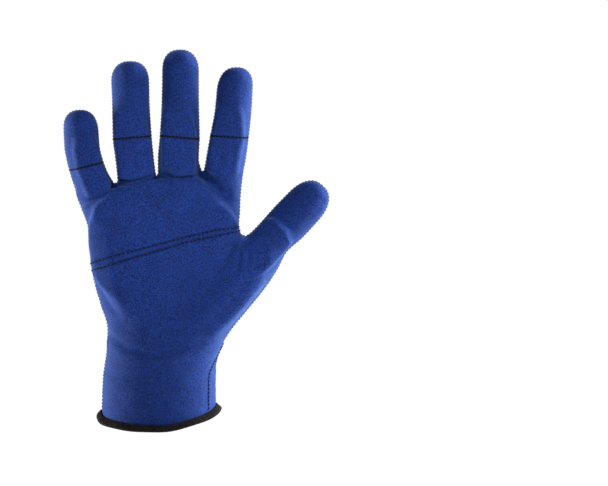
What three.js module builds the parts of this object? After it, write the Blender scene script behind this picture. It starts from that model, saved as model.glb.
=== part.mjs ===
// Anti-impact glove liner for the right hand, in the form it has when it is worn.
// Millimetres. +Z runs up the fingers, the palm faces -Y and the thumb points to +X.
// The origin is the middle of the wrist opening.
import * as THREE from 'three';

// Cloth, pads and edge
const wall = 1.2;            // thickness of the knitted cloth
const seamGap = 0.3;         // space between the palm cloth and the back cloth along their seam
const padClear = 0.3;        // space between a pad and the cloth that covers it
const padRise = 2.4;         // how far a pad lifts the cloth
const padSoftEdge = 3.0;     // width of the slope round a pad
const padFullShare = 0.85;   // a pad fills the cloth where its lift is over this share

// The dark overlocked edge of the wrist: its profile, out from the hem's face and down from the hem
const bindingProfile = [
  { out: -1.5, down: 0 },
  { out: 0.5, down: 0 },
  { out: 2.6, down: 2.6 },
  { out: 1.9, down: 3.5 },
  { out: 0.6, down: 3.1 },
];
const bindingHeight = 3.5;
const bindingGap = 0.3;          // space between the hem and the edge
const aboveHem = 1;              // height at which the hem's face is measured
const bindingFlareRight = 1.4;   // how much further its foot stands out at the thumb's side
const bindingFlareLeft = 1.0;    // and at the little finger's side
const bindingSides = 56;         // steps round the edge

// Grid of the cloth
const fingerColumns = 8;     // strips across half of a finger
const lowerPadRows = 3;      // rows over a finger's lower pad
const upperPadRows = 2;      // rows over its upper pad
const tipRows = 4;           // rows over a fingertip
const knuckleRows = 5;       // rows of the palm above its stitched line
const thumbColumns = 8;      // rows of the palm beside the thumb, and strips across the thumb
const thumbRows = 11;        // rows from the thumb's root to its tip
const wristRows = 5;         // rows of the wrist
const palmEven = 0.55;       // how evenly the palm's columns are spread: 0 crowds them at the sides
const thumbEven = 0.35;      // the same for the thumb's rows towards its tip
const knuckleSettle = 1.3;   // the knuckle line has straightened out before the palm's stitched line
const tipInset = 0.02;       // the last place of a finger lies this far inside its tip

// Roundness of the forms
const palmPower = 2.3;       // 2 is an ellipse, more is flatter
const palmTopRound = 13;     // how far below its top edge the palm is fully deep
const tipPower = 2.4;        // fullness of a fingertip's outline
const webBlend = 5.0;        // soft run between palm and fingers
const fingerBlend = 0.8;     // soft run between two fingers
const thumbBlend = 9.0;      // soft run between palm and thumb
const fingerDepthShare = 0.88;
const fingerRoot = 112;      // height at which the fingers' forms end inside the palm
const fingerRootRound = 14;
const thumbFoot = 25;        // how far the thumb's form runs on below its root
const thumbFootRound = 30;
const smallest = 0.01;       // least size of a form at its rounded end

// Bend of the worn hand towards the palm, and the run of the seam and the hem
const fingerCurl = 9;        // how far the longest fingertip lies in front of the knuckles
const curlStart = 135;
const curlRun = 90;
const thumbCurl = 9;         // how far the thumb's tip lies in front of its root
const thumbCurlStart = 45;
const thumbCurlRun = 80;
const thumbCurlSide = 14;    // how far from the thumb's line its bend starts to fade out
const thumbCurlFade = 22;
const seamTurn = 0.55;       // angle by which the thumb-side seam lies on the palm at the hem
const seamTurnTop = 44;      // height at which that seam leaves the outline
const seamTurnRun = 22;      // how much lower it has turned all the way
const hemDropFront = 7.8;    // how far the hem hangs lower at the front
const hemDropBack = 3.0;
const hemDropPower = 1.3;
const hemRiseRight = 4.7;    // how far the hem lies higher at the thumb's side
const hemDropHeight = 40;    // height up to which the cloth follows the hem

// Outline and depth of palm and wrist
const palmSections = [
  { z: -20, left: -36.2, right: 35.1, front: 26.5, back: 26.5 },
  { z: 0, left: -36.2, right: 35.1, front: 26, back: 26 },
  { z: 22, left: -35.4, right: 35.2, front: 25, back: 24.5 },
  { z: 38, left: -33.2, right: 36.0, front: 23.5, back: 22.5 },
  { z: 52, left: -32.6, right: 38.5, front: 21, back: 20.5 },
  { z: 68, left: -37.1, right: 41.5, front: 18.5, back: 18.5 },
  { z: 84, left: -41.4, right: 45.0, front: 16.5, back: 17 },
  { z: 100, left: -43.2, right: 48.0, front: 15.5, back: 16 },
  { z: 112, left: -44.4, right: 49.6, front: 14.5, back: 15 },
  { z: 122, left: -45.3, right: 49.0, front: 13.5, back: 14.5 },
  { z: 134, left: -49.4, right: 47.6, front: 12.5, back: 13.5 },
  { z: 150, left: -51.0, right: 46.0, front: 11.5, back: 12.5 },
];

// Top edge of the palm, from the little finger's side to the index finger's side
const palmTop = [
  { x: -56, z: 135 },
  { x: -28, z: 140.5 },
  { x: -2, z: 145.5 },
  { x: 27, z: 148.5 },
  { x: 56, z: 149 },
];

// Fingers: outline by height, and the tip
const fingers = [
  {
    name: 'little', tipX: -49.3, tipZ: 189, tipStart: 176,
    padFoot: 139, stitchLeft: 151.3, stitchRight: 156.3, padTop: 171,
    sections: [
      { z: 112, left: -42.0, right: -24.0 },
      { z: 142, left: -53.4, right: -28.2 },
      { z: 150, left: -55.9, right: -32.4 },
      { z: 158, left: -57.9, right: -35.3 },
      { z: 166, left: -59.2, right: -37.2 },
      { z: 190, left: -60.0, right: -38.6 },
    ],
  },
  {
    name: 'ring', tipX: -17.8, tipZ: 219.4, tipStart: 205,
    padFoot: 147, stitchLeft: 170.9, stitchRight: 172.8, padTop: 190,
    sections: [
      { z: 112, left: -25.0, right: -3.0 },
      { z: 146, left: -26.2, right: -2.2 },
      { z: 158, left: -27.4, right: -3.4 },
      { z: 172, left: -29.0, right: -4.7 },
      { z: 196, left: -29.3, right: -6.0 },
      { z: 220, left: -30.4, right: -6.2 },
    ],
  },
  {
    name: 'middle', tipX: 13.2, tipZ: 226.6, tipStart: 213,
    padFoot: 150, stitchLeft: 173.1, stitchRight: 170.9, padTop: 191,
    sections: [
      { z: 112, left: 0.5, right: 25.5 },
      { z: 150, left: -0.9, right: 26.2 },
      { z: 158, left: -0.9, right: 24.6 },
      { z: 172, left: 0.3, right: 25.2 },
      { z: 196, left: 1.7, right: 24.8 },
      { z: 227, left: 2.3, right: 24.8 },
    ],
  },
  {
    name: 'index', tipX: 48.2, tipZ: 215.6, tipStart: 201,
    padFoot: 151, stitchLeft: 172.8, stitchRight: 171.7, padTop: 191,
    sections: [
      { z: 112, left: 27.0, right: 48.0 },
      { z: 150, left: 27.9, right: 52.4 },
      { z: 158, left: 29.1, right: 53.9 },
      { z: 172, left: 31.6, right: 55.8 },
      { z: 190, left: 34.9, right: 57.6 },
      { z: 216, left: 37.0, right: 58.9 },
    ],
  },
];

// Height of the webs between the fingers
const webs = [
  { x: -28.2, z: 142.4 },
  { x: -1.7, z: 147.4 },
  { x: 26.9, z: 150.0 },
];
const sideWebLeft = { x: -53.4, z: 141 };   // end of the knuckle line on the little finger's side
const sideWebRight = { x: 51.8, z: 149 };   // and on the index finger's side

// Thumb: a straight middle line from the wrist to the tip, with its outline to both sides of it
const thumbRoot = { x: 19.06, z: 51.25 };
const thumbAlong = new THREE.Vector2(0.6747, 0.7381);
const thumbLength = 123;
const thumbTipStart = 104;
const thumbSections = [
  { s: -25, inner: 12, outer: 18, depth: 16 },
  { s: 0, inner: 16, outer: 20.2, depth: 19.5 },
  { s: 12, inner: 17, outer: 19, depth: 20 },
  { s: 32, inner: 17, outer: 18.1, depth: 19 },
  { s: 50, inner: 15.5, outer: 17, depth: 16.5 },
  { s: 64, inner: 13.5, outer: 14.9, depth: 13.5 },
  { s: 78, inner: 12.8, outer: 11.6, depth: 11 },
  { s: 92, inner: 13.0, outer: 12.9, depth: 11 },
  { s: 108, inner: 12.6, outer: 12.8, depth: 10.8 },
  { s: 123, inner: 12.4, outer: 12.4, depth: 10.6 },
];
const thumbWeb = { x: 54.0, z: 111.0 };
const thumbWebFrom = { x: 46, z: 92 };      // a place inside, from which the web is looked for
const thumbHeel = { x: 38.6, z: 43.0 };     // where the thumb's outer outline ends at the wrist

// Places inside the hand, from which its outline is looked for
const palmLeftInside = -20;
const palmRightInside = 25;
const knuckleInside = 40;
const palmOutside = 50;
const belowWeb = 25;
const aboveHeel = 3;
const searchStep = 0.5;
const searchHalvings = 24;
const searchSpare = 12;      // how far past its target the outline is still looked for
const farthest = 60;         // more than the glove is deep or half as wide at any place

// The palm's double stitched line, at its two ends
const palmStitch = { left: { x: -42, z: 90.6 }, right: { x: 47.8, z: 115.3 } };
const stitchHalf = 1.6;                     // half of the groove that a stitched line lies in

// Rows of the palm: height at its two sides
const aboveStitch = { left: palmStitch.left.z + stitchHalf, right: palmStitch.right.z + stitchHalf };
const belowStitch = { left: palmStitch.left.z - stitchHalf, right: thumbWeb.z };
const thumbEnd = { left: 43, right: thumbHeel.z };

// Pads of the palm and the thumb, as outlines seen from the palm
const padInset = 0.6;        // from a stitched line to the edges of the pads beside it
const padSideShare = 0.85;   // a finger pad's half width, as a share of the finger's
const padFootShare = 0.765;  // at the foot of the lower pad
const padTopShare = 0.6;     // and at the top of the upper pad
const padShoulder = 0.6;     // share of the upper pad's height at which it starts to narrow
const palmPads = [
  { name: 'palm_pad_upper', part: 'palm', outline: [
    { x: palmStitch.left.x, z: palmStitch.left.z + padInset },
    { x: palmStitch.right.x, z: palmStitch.right.z + padInset },
    { x: 46, z: 128 }, { x: 42, z: 138 }, { x: 18, z: 139 }, { x: -20, z: 134 },
    { x: -43, z: 127 }, { x: -45, z: 118 }] },
  { name: 'palm_pad_heel', part: 'palm', outline: [
    { x: palmStitch.left.x, z: palmStitch.left.z - padInset },
    { x: -39, z: 82 }, { x: -33, z: 75 }, { x: -22, z: 69 }, { x: -4, z: 62 },
    { x: 20, z: 55 }, { x: 44, z: 52 }, { x: 60, z: 80 }, { x: 54, z: 108 },
    { x: palmStitch.right.x, z: palmStitch.right.z - padInset }] },
  { name: 'thumb_pad', part: 'thumb', outline: [
    { x: 30, z: 56 }, { x: 44, z: 62 }, { x: 55, z: 77 }, { x: 66, z: 91 }, { x: 79, z: 106 },
    { x: 79, z: 113 }, { x: 73, z: 119 }, { x: 66, z: 119 }, { x: 56, z: 108 }] },
];

const clamp = (value, low, high) => Math.min(Math.max(value, low), high);
const mix = (a, b, share) => a + (b - a) * share;
const ease = (share) => {
  const t = clamp(share, 0, 1);
  return t * t * (3 - 2 * t);
};

// Reads a column of a table at a place between its rows, as a smooth curve without overshoot.
function read(table, key, at, column) {
  const last = table.length - 1;
  const t = clamp(at, table[0][key], table[last][key]);
  let i = 0;
  while (i < last - 1 && t > table[i + 1][key]) i += 1;
  const slope = (k) => (table[k + 1][column] - table[k][column]) / (table[k + 1][key] - table[k][key]);
  const tangent = (k) => {
    if (k === 0) return slope(0);
    if (k === last) return slope(last - 1);
    const before = slope(k - 1);
    const after = slope(k);
    return before * after <= 0 ? 0 : (2 * before * after) / (before + after);
  };
  const step = table[i + 1][key] - table[i][key];
  const u = (t - table[i][key]) / step;
  const a = table[i][column];
  const b = table[i + 1][column];
  const bend = u * u * (3 - 2 * u);
  const rise = (u * (1 - u) * (1 - u) * tangent(i) - u * u * (1 - u) * tangent(i + 1)) * step;
  return a + (b - a) * bend + rise;
}

// Distance to an oval, near enough: across and depth are measured from its middle.
function ovalDistance(across, depth, halfWidth, halfDepth, power) {
  const a = Math.abs(across) / halfWidth + 1e-6;
  const b = Math.abs(depth) / halfDepth + 1e-6;
  const rho = (a ** power + b ** power) ** (1 / power);
  const slopeA = (a / rho) ** (power - 1) / halfWidth;
  const slopeB = (b / rho) ** (power - 1) / halfDepth;
  return (rho - 1) / Math.hypot(slopeA, slopeB);
}

function softMin(a, b, run) {
  const h = Math.max(run - Math.abs(a - b), 0) / run;
  return Math.min(a, b) - (h * h * run) / 4;
}

// Share of the full size that is left at a place on a rounded end.
function roundEnd(at, start, end, power) {
  const t = clamp((at - start) / (end - start), 0, 1);
  return (1 - t ** power) ** (1 / power);
}

function fingerDistance(finger, x, y, z) {
  const left = read(finger.sections, 'z', z, 'left');
  const right = read(finger.sections, 'z', z, 'right');
  const full = roundEnd(z, finger.tipStart, finger.tipZ, tipPower);
  const foot = roundEnd(-z, -fingerRoot - fingerRootRound, -fingerRoot, 2);
  const lean = ease((z - finger.tipStart) / (finger.tipZ - finger.tipStart));
  const middle = mix((left + right) / 2, finger.tipX, lean);
  const half = (right - left) / 2;
  const size = Math.max(full * foot, smallest);
  const past = Math.max(z - finger.tipZ, fingerRoot - z, 0);
  const flat = ovalDistance(x - middle, y, half * size, half * fingerDepthShare * size, 2);
  return past > 0 ? Math.hypot(Math.max(flat, 0), past) : flat;
}

function palmDistance(x, y, z) {
  const left = read(palmSections, 'z', z, 'left');
  const right = read(palmSections, 'z', z, 'right');
  const deep = read(palmSections, 'z', z, y < 0 ? 'front' : 'back');
  const top = read(palmTop, 'x', x, 'z');
  const round = Math.max(roundEnd(z, top - palmTopRound, top, 2), smallest);
  const flat = ovalDistance(x - (left + right) / 2, y, (right - left) / 2, deep * round, palmPower);
  const past = Math.max(z - top, 0);
  return past > 0 ? Math.hypot(Math.max(flat, 0), past) : flat;
}

function thumbPlace(x, z) {
  const dx = x - thumbRoot.x;
  const dz = z - thumbRoot.z;
  return {
    s: dx * thumbAlong.x + dz * thumbAlong.y,
    e: -dx * thumbAlong.y + dz * thumbAlong.x,
  };
}

function thumbPoint(s, e) {
  return {
    x: thumbRoot.x + s * thumbAlong.x - e * thumbAlong.y,
    z: thumbRoot.z + s * thumbAlong.y + e * thumbAlong.x,
  };
}

function thumbDistance(x, y, z) {
  const { s, e } = thumbPlace(x, z);
  const inner = read(thumbSections, 's', s, 'inner');
  const outer = read(thumbSections, 's', s, 'outer');
  const deep = read(thumbSections, 's', s, 'depth');
  const full = roundEnd(s, thumbTipStart, thumbLength, tipPower);
  const foot = roundEnd(-s, thumbFoot - thumbFootRound, thumbFoot, 2);
  const size = Math.max(full * foot, smallest);
  const past = Math.max(s - thumbLength, -thumbFoot - s, 0);
  const half = (inner + outer) / 2;
  const flat = ovalDistance(e - ((inner - outer) / 2) * full, y, half * size, deep * size, 2);
  return past > 0 ? Math.hypot(Math.max(flat, 0), past) : flat;
}

// Below 0 inside the worn glove, above 0 outside, 0 on the outer face of its cloth.
function distance(x, y, z) {
  let hand = Infinity;
  for (const finger of fingers) {
    const one = fingerDistance(finger, x, y, z);
    hand = hand === Infinity ? one : softMin(hand, one, fingerBlend);
  }
  const body = softMin(palmDistance(x, y, z), thumbDistance(x, y, z), thumbBlend);
  return softMin(body, hand, webBlend);
}

// Steps from a place inside until the outline is crossed, then halves the step.
function crossing(inside, run) {
  let low = 0;
  let high = searchStep;
  while (inside(high) && high < run) {
    low = high;
    high += searchStep;
  }
  for (let i = 0; i < searchHalvings; i += 1) {
    const t = (low + high) / 2;
    if (inside(t)) low = t;
    else high = t;
  }
  return (low + high) / 2;
}

// The place on the outline in the direction of a target.
function outlinePlace(from, target) {
  const length = Math.hypot(target.x - from.x, target.z - from.z);
  const dx = (target.x - from.x) / length;
  const dz = (target.z - from.z) / length;
  const t = crossing((r) => distance(from.x + r * dx, 0, from.z + r * dz) < 0, length + searchSpare);
  return { x: from.x + t * dx, z: from.z + t * dz, edge: true };
}

const places = [];
function addPlace(x, z, edge) {
  places.push({ x, z, edge });
  return places.length - 1;
}

// A row of places between two ends, with the shares of its length given.
function addRow(a, b, shares) {
  return shares.map((share) => {
    const atEnd = share === 0 || share === 1;
    const end = share === 0 ? a : b;
    return addPlace(mix(a.x, b.x, share), mix(a.z, b.z, share), atEnd && end.edge === true);
  });
}

const cosineShares = (count) => Array.from({ length: count + 1 }, (_, i) => {
  if (i === 0 || i === count) return i / count;
  return (1 - Math.cos((Math.PI * i) / count)) / 2;
});

// A finger's width at a height, by its share from -1 at its left side to 1 at its right.
function across(finger, z, share) {
  const left = read(finger.sections, 'z', z, 'left');
  const right = read(finger.sections, 'z', z, 'right');
  return { x: mix(left, right, (share + 1) / 2), z };
}

// A finger has one pad below its stitched line and one above it.
function fingerPads(finger) {
  const stitch = [-padSideShare, padSideShare].map((share) => {
    const z = mix(finger.stitchLeft, finger.stitchRight, (share + 1) / 2);
    return across(finger, z, share);
  });
  const shifted = (place, lift) => ({ x: place.x, z: place.z + lift });
  const shoulder = mix(stitch[0].z, finger.padTop, padShoulder);
  return [
    { name: `${finger.name}_pad_lower`, part: finger.name, outline: [
      across(finger, finger.padFoot, -padFootShare),
      across(finger, finger.padFoot, padFootShare),
      shifted(stitch[1], -padInset),
      shifted(stitch[0], -padInset),
    ] },
    { name: `${finger.name}_pad_upper`, part: finger.name, outline: [
      shifted(stitch[0], padInset),
      shifted(stitch[1], padInset),
      across(finger, shoulder, padSideShare),
      across(finger, finger.padTop + padInset, padTopShare),
      across(finger, finger.padTop + padInset, -padTopShare),
      across(finger, shoulder, -padSideShare),
    ] },
  ];
}
const pads = [...fingers.flatMap(fingerPads), ...palmPads];

const cells = [];
function addCells(below, above, part) {
  for (let i = 0; i + 1 < below.length; i += 1) {
    cells.push({ part, corners: [below[i], below[i + 1], above[i + 1], above[i]] });
  }
}

// Palm rows: from the knuckle line down to the hem.
function palmGrid() {
  const columns = fingers.length * fingerColumns;
  const webEdges = webs.map((web) => outlinePlace({ x: web.x, z: web.z - belowWeb }, web));
  const ends = [
    outlinePlace({ x: -knuckleInside, z: sideWebLeft.z }, sideWebLeft),
    outlinePlace({ x: knuckleInside, z: sideWebRight.z }, sideWebRight),
  ];
  const topRow = [];
  const shares = cosineShares(fingerColumns);
  fingers.forEach((_, f) => {
    const a = f === 0 ? ends[0] : webEdges[f - 1];
    const b = f === fingers.length - 1 ? ends[1] : webEdges[f];
    const row = shares.map((share) => ({
      x: mix(a.x, b.x, share),
      z: mix(a.z, b.z, share),
      edge: share === 0 || share === 1,
    }));
    topRow.push(...(f === 0 ? row : row.slice(1)));
  });
  const rows = [topRow.map((p) => addPlace(p.x, p.z, p.edge))];
  const topShares = topRow.map((p) => (p.x - ends[0].x) / (ends[1].x - ends[0].x));
  const topLift = topRow.map((p, i) => p.z - mix(ends[0].z, ends[1].z, topShares[i]));
  const flatShares = cosineShares(columns).map((share, i) => mix(share, i / columns, palmEven));

  const lines = [];
  for (let i = 1; i <= knuckleRows; i += 1) {
    const t = i / knuckleRows;
    lines.push({
      left: mix(sideWebLeft.z, aboveStitch.left, t),
      right: mix(sideWebRight.z, aboveStitch.right, t),
      settle: ease(t * knuckleSettle),
    });
  }
  lines.push({ left: palmStitch.left.z, right: palmStitch.right.z, settle: 1 });
  lines.push({ left: belowStitch.left, root: 0, settle: 1 });
  const rootShares = cosineShares(thumbColumns);
  for (let i = 1; i <= thumbColumns; i += 1) {
    const t = i / thumbColumns;
    lines.push({
      left: mix(belowStitch.left, thumbEnd.left, t),
      root: rootShares[i],
      settle: 1,
    });
  }
  for (let i = 1; i <= wristRows; i += 1) {
    const t = i / wristRows;
    lines.push({ left: mix(thumbEnd.left, 0, t), right: mix(thumbEnd.right, 0, t), settle: 1 });
  }

  const web = outlinePlace(thumbWebFrom, thumbWeb);
  const heel = outlinePlace({ x: palmRightInside, z: thumbHeel.z + aboveHeel }, thumbHeel);
  const rootRow = [];
  lines.forEach((line) => {
    const a = outlinePlace({ x: palmLeftInside, z: line.left }, { x: -palmOutside, z: line.left });
    let b;
    if (line.root === 0) b = web;
    else if (line.root === 1) b = heel;
    else if (line.root !== undefined) {
      b = { x: mix(web.x, heel.x, line.root), z: mix(web.z, heel.z, line.root), edge: false };
    } else b = outlinePlace({ x: palmRightInside, z: line.right }, { x: palmOutside, z: line.right });
    const row = flatShares.map((flat, j) => {
      const share = mix(topShares[j], flat, line.settle);
      const lift = topLift[j] * (1 - line.settle);
      const end = j === 0 || j === columns;
      const edge = end && (j === 0 ? true : b.edge);
      return addPlace(mix(a.x, b.x, share), mix(a.z, b.z, share) + lift, edge);
    });
    addCells(row, rows[rows.length - 1], 'palm');
    rows.push(row);
    if (line.root !== undefined) rootRow.push(row[columns]);
  });
  return { topRow: rows[0], rootRow };
}

// Heights of a finger's rows at one of its sides, above the web.
function fingerLevels(finger, web, stitch) {
  const foot = Math.max(finger.padFoot + padInset, web + stitchHalf);
  const levels = [];
  for (let i = 0; i <= lowerPadRows; i += 1) {
    levels.push(mix(foot, stitch - stitchHalf, i / lowerPadRows));
  }
  levels.push(stitch);
  for (let i = 0; i <= upperPadRows; i += 1) {
    levels.push(mix(stitch + stitchHalf, finger.padTop - padInset, i / upperPadRows));
  }
  levels.push(finger.tipStart);
  for (let i = 1; i < tipRows; i += 1) {
    levels.push(mix(finger.tipStart, finger.tipZ, Math.sin((Math.PI / 2) * (i / tipRows))));
  }
  return levels;
}

function fingerGrid(finger, firstRow) {
  const leftLevels = fingerLevels(finger, places[firstRow[0]].z, finger.stitchLeft);
  const rightLevels = fingerLevels(finger, places[firstRow[fingerColumns]].z, finger.stitchRight);
  const shares = cosineShares(fingerColumns);
  let below = firstRow;
  leftLevels.forEach((leftZ, i) => {
    const rightZ = rightLevels[i];
    const level = (leftZ + rightZ) / 2;
    const left = read(finger.sections, 'z', level, 'left');
    const right = read(finger.sections, 'z', level, 'right');
    const lean = ease((level - finger.tipStart) / (finger.tipZ - finger.tipStart));
    const centre = { x: mix((left + right) / 2, finger.tipX, lean), z: level };
    const half = (right - left) / 2;
    const start = outlinePlace(centre, { x: centre.x - half, z: leftZ });
    const end = outlinePlace(centre, { x: centre.x + half, z: rightZ });
    const row = addRow(start, end, shares);
    addCells(below, row, finger.name);
    below = row;
  });
  const tip = addPlace(finger.tipX, finger.tipZ - tipInset, true);
  addCells(below, below.map(() => tip), finger.name);
}

function thumbGrid(rootRow) {
  const shares = cosineShares(thumbColumns);
  const web = thumbPlace(places[rootRow[0]].x, places[rootRow[0]].z);
  const heel = thumbPlace(places[rootRow[thumbColumns]].x, places[rootRow[thumbColumns]].z);
  let below = rootRow;
  for (let i = 1; i < thumbRows; i += 1) {
    const t = i / thumbRows;
    const rest = mix(1 - Math.sin((Math.PI / 2) * t), 1 - t, thumbEven);
    const innerS = mix(thumbLength, web.s, rest);
    const outerS = mix(thumbLength, heel.s, rest);
    const inner = thumbPoint(innerS, read(thumbSections, 's', innerS, 'inner'));
    const outer = thumbPoint(outerS, -read(thumbSections, 's', outerS, 'outer'));
    const centre = { x: (inner.x + outer.x) / 2, z: (inner.z + outer.z) / 2 };
    const row = addRow(outlinePlace(centre, inner), outlinePlace(centre, outer), shares);
    addCells(row.slice().reverse(), below.slice().reverse(), 'thumb');
    below = row;
  }
  const end = thumbPoint(thumbLength - tipInset, 0);
  const tip = addPlace(end.x, end.z, true);
  addCells(below.map(() => tip).reverse(), below.slice().reverse(), 'thumb');
}

const palm = palmGrid();
fingers.forEach((finger, f) => {
  const first = f * fingerColumns;
  fingerGrid(finger, palm.topRow.slice(first, first + fingerColumns + 1));
});
thumbGrid(palm.rootRow);

// Distance from a place to the edge of an outline, above 0 inside it.
function insideOutline(outline, x, z) {
  let nearest = Infinity;
  let inside = false;
  outline.forEach((a, i) => {
    const b = outline[(i + 1) % outline.length];
    const ex = b.x - a.x;
    const ez = b.z - a.z;
    const t = clamp(((x - a.x) * ex + (z - a.z) * ez) / (ex * ex + ez * ez), 0, 1);
    nearest = Math.min(nearest, Math.hypot(x - a.x - t * ex, z - a.z - t * ez));
    if (a.z > z !== b.z > z && x < a.x + ((z - a.z) / ez) * ex) inside = !inside;
  });
  return inside ? nearest : -nearest;
}

// Share of a pad's lift at a place: half of it at the pad's edge, all of it half a slope further in.
function padShare(pad, x, z) {
  return ease(insideOutline(pad.outline, x, z) / padSoftEdge + 0.5);
}

function padLift(x, z) {
  return Math.max(...pads.map((pad) => padShare(pad, x, z)));
}

// The outward direction of the cloth: the way in which the distance grows.
function outward(x, y, z) {
  const h = 0.05;            // half of the short stretch over which it is measured
  return new THREE.Vector3(
    distance(x + h, y, z) - distance(x - h, y, z),
    distance(x, y + h, z) - distance(x, y - h, z),
    distance(x, y, z + h) - distance(x, y, z - h),
  ).normalize();
}

// The wrist's oval: its middle, half width and depth at a height.
function wristOval(z) {
  const left = read(palmSections, 'z', z, 'left');
  const right = read(palmSections, 'z', z, 'right');
  return {
    middle: (left + right) / 2,
    half: (right - left) / 2,
    front: read(palmSections, 'z', z, 'front'),
    back: read(palmSections, 'z', z, 'back'),
  };
}

// Angle round that oval: 0 at the thumb's side, a quarter turn at the palm.
function wristAngle(oval, x, y) {
  return Math.atan2(-y / (y < 0 ? oval.front : oval.back), (x - oval.middle) / oval.half);
}

// Slides a place round the wrist, so that the thumb-side seam comes to lie on the palm.
function turnSeam(p) {
  const turn = seamTurn * ease((seamTurnTop - p.z) / seamTurnRun);
  if (turn === 0) return p;
  const oval = wristOval(p.z);
  const angle = wristAngle(oval, p.x, p.y);
  const turned = angle + (turn * (1 + Math.cos(angle))) / 2;
  const deep = Math.sin(turned) > 0 ? oval.front : oval.back;
  const way = new THREE.Vector2(Math.cos(turned) * oval.half, -Math.sin(turned) * deep).normalize();
  const reach = crossing((r) => distance(oval.middle + r * way.x, r * way.y, p.z) < 0, farthest);
  return new THREE.Vector3(oval.middle + reach * way.x, reach * way.y, p.z);
}

// The hem hangs lower at the front and the back, and lies higher towards the thumb's side.
const hemOval = wristOval(0);
function hemDrop(x, y) {
  const share = Math.abs(Math.sin(wristAngle(hemOval, x, y))) ** hemDropPower;
  const toRight = clamp((x - hemOval.middle + hemOval.half) / (2 * hemOval.half), 0, 1);
  return share * (y < 0 ? hemDropFront : hemDropBack) - hemRiseRight * toRight * toRight;
}

// Bends a place with the hand and lets the hem hang.
function settle(p) {
  const { s, e } = thumbPlace(p.x, p.z);
  const fingerPart = Math.max(p.z - curlStart, 0) / curlRun;
  const thumbShare = 1 - ease((e - thumbCurlSide) / thumbCurlFade);
  const thumbPart = (Math.max(s - thumbCurlStart, 0) / thumbCurlRun) * thumbShare;
  const low = clamp(1 - p.z / hemDropHeight, 0, 1);
  return new THREE.Vector3(
    p.x,
    p.y - fingerCurl * fingerPart * fingerPart * (1 - thumbShare) - thumbCurl * thumbPart * thumbPart,
    p.z - hemDrop(p.x, p.y) * low * low,
  );
}

// Outer place, outward direction and pad lift of every place of the grid, for one panel.
function panelSkin(front) {
  const side = front ? -1 : 1;
  return places.map((place) => {
    let y = side * (seamGap / 2);
    if (!place.edge) {
      const depth = crossing((r) => distance(place.x, side * r, place.z) < 0, farthest);
      y = side * Math.max(depth, seamGap);
    }
    const at = turnSeam(new THREE.Vector3(place.x, y, place.z));
    const out = outward(at.x, place.edge && place.z > seamTurnTop ? 0 : at.y, at.z);
    const lift = front && !place.edge ? padLift(place.x, place.z) : 0;
    return { at, out, lift };
  });
}

// A place at a height over the skin, kept on its own side of the seam.
function offset(skin, height, front) {
  const place = skin.at.clone().addScaledVector(skin.out, height);
  if (skin.at.z > seamTurnTop) {
    place.y = front ? Math.min(place.y, -seamGap / 2) : Math.max(place.y, seamGap / 2);
  }
  return settle(place);
}

// A closed body from a patch of cells, an outer height and an inner height over the skin.
function thickPatch(patch, skin, outerHeight, innerHeight, front) {
  const outer = new Map();
  const inner = new Map();
  const points = [];
  const use = (store, id, height) => {
    if (!store.has(id)) {
      store.set(id, points.length);
      points.push(offset(skin[id], height(skin[id]), front));
    }
    return store.get(id);
  };
  const triangles = [];
  const borders = new Map();
  for (const cell of patch) {
    const loop = cell.corners.filter((id, i) => id !== cell.corners[(i + 1) % 4]);
    if (!front) loop.reverse();
    for (let i = 1; i + 1 < loop.length; i += 1) {
      const three = [loop[0], loop[i], loop[i + 1]];
      triangles.push(three.map((id) => use(outer, id, outerHeight)));
      triangles.push(three.map((id) => use(inner, id, innerHeight)).reverse());
    }
    loop.forEach((id, i) => {
      const next = loop[(i + 1) % loop.length];
      if (borders.has(`${next} ${id}`)) borders.delete(`${next} ${id}`);
      else borders.set(`${id} ${next}`, [id, next]);
    });
  }
  for (const [a, b] of borders.values()) {
    triangles.push([outer.get(b), outer.get(a), inner.get(a)]);
    triangles.push([outer.get(b), inner.get(a), inner.get(b)]);
  }
  const geometry = new THREE.BufferGeometry();
  geometry.setAttribute('position', new THREE.Float32BufferAttribute(points.flatMap((p) => p.toArray()), 3));
  geometry.setIndex(triangles.flat());
  return geometry;
}

const finishes = {
  jersey: { color: 0x2540a8, roughness: 0.9 },
  foam: { color: 0x3a3c44, roughness: 0.8 },
  thread: { color: 0x2d1f24, roughness: 0.85 },
};
const glove = new THREE.Group();
glove.name = 'anti_impact_glove_liner';

function addPiece(name, geometry, finish) {
  geometry.computeVertexNormals();
  const mesh = new THREE.Mesh(geometry, new THREE.MeshStandardMaterial({ ...finish, metalness: 0 }));
  mesh.name = name;
  glove.add(mesh);
}

const palmSkin = panelSkin(true);
const backSkin = panelSkin(false);
const liftOf = (skin) => skin.lift * padRise;
addPiece('palm_panel', thickPatch(cells, palmSkin, liftOf, (k) => liftOf(k) - wall, true), finishes.jersey);
addPiece('back_panel', thickPatch(cells, backSkin, () => 0, () => -wall, false), finishes.jersey);

// The pads lie in the pockets that they press into the palm cloth.
for (const pad of pads) {
  const own = cells.filter((cell) => {
    if (cell.part !== pad.part) return false;
    if (pad.part === 'thumb' && cell.corners.some((id) => palm.rootRow.includes(id))) return false;
    return cell.corners.every((id) => {
      const place = places[id];
      return !place.edge && padShare(pad, place.x, place.z) > padFullShare;
    });
  });
  if (own.length === 0) throw new Error(`${pad.name} has no cells`);
  const geometry = thickPatch(own, palmSkin, (k) => liftOf(k) - wall - padClear, () => -wall, true);
  addPiece(pad.name, geometry, finishes.foam);
}

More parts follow.
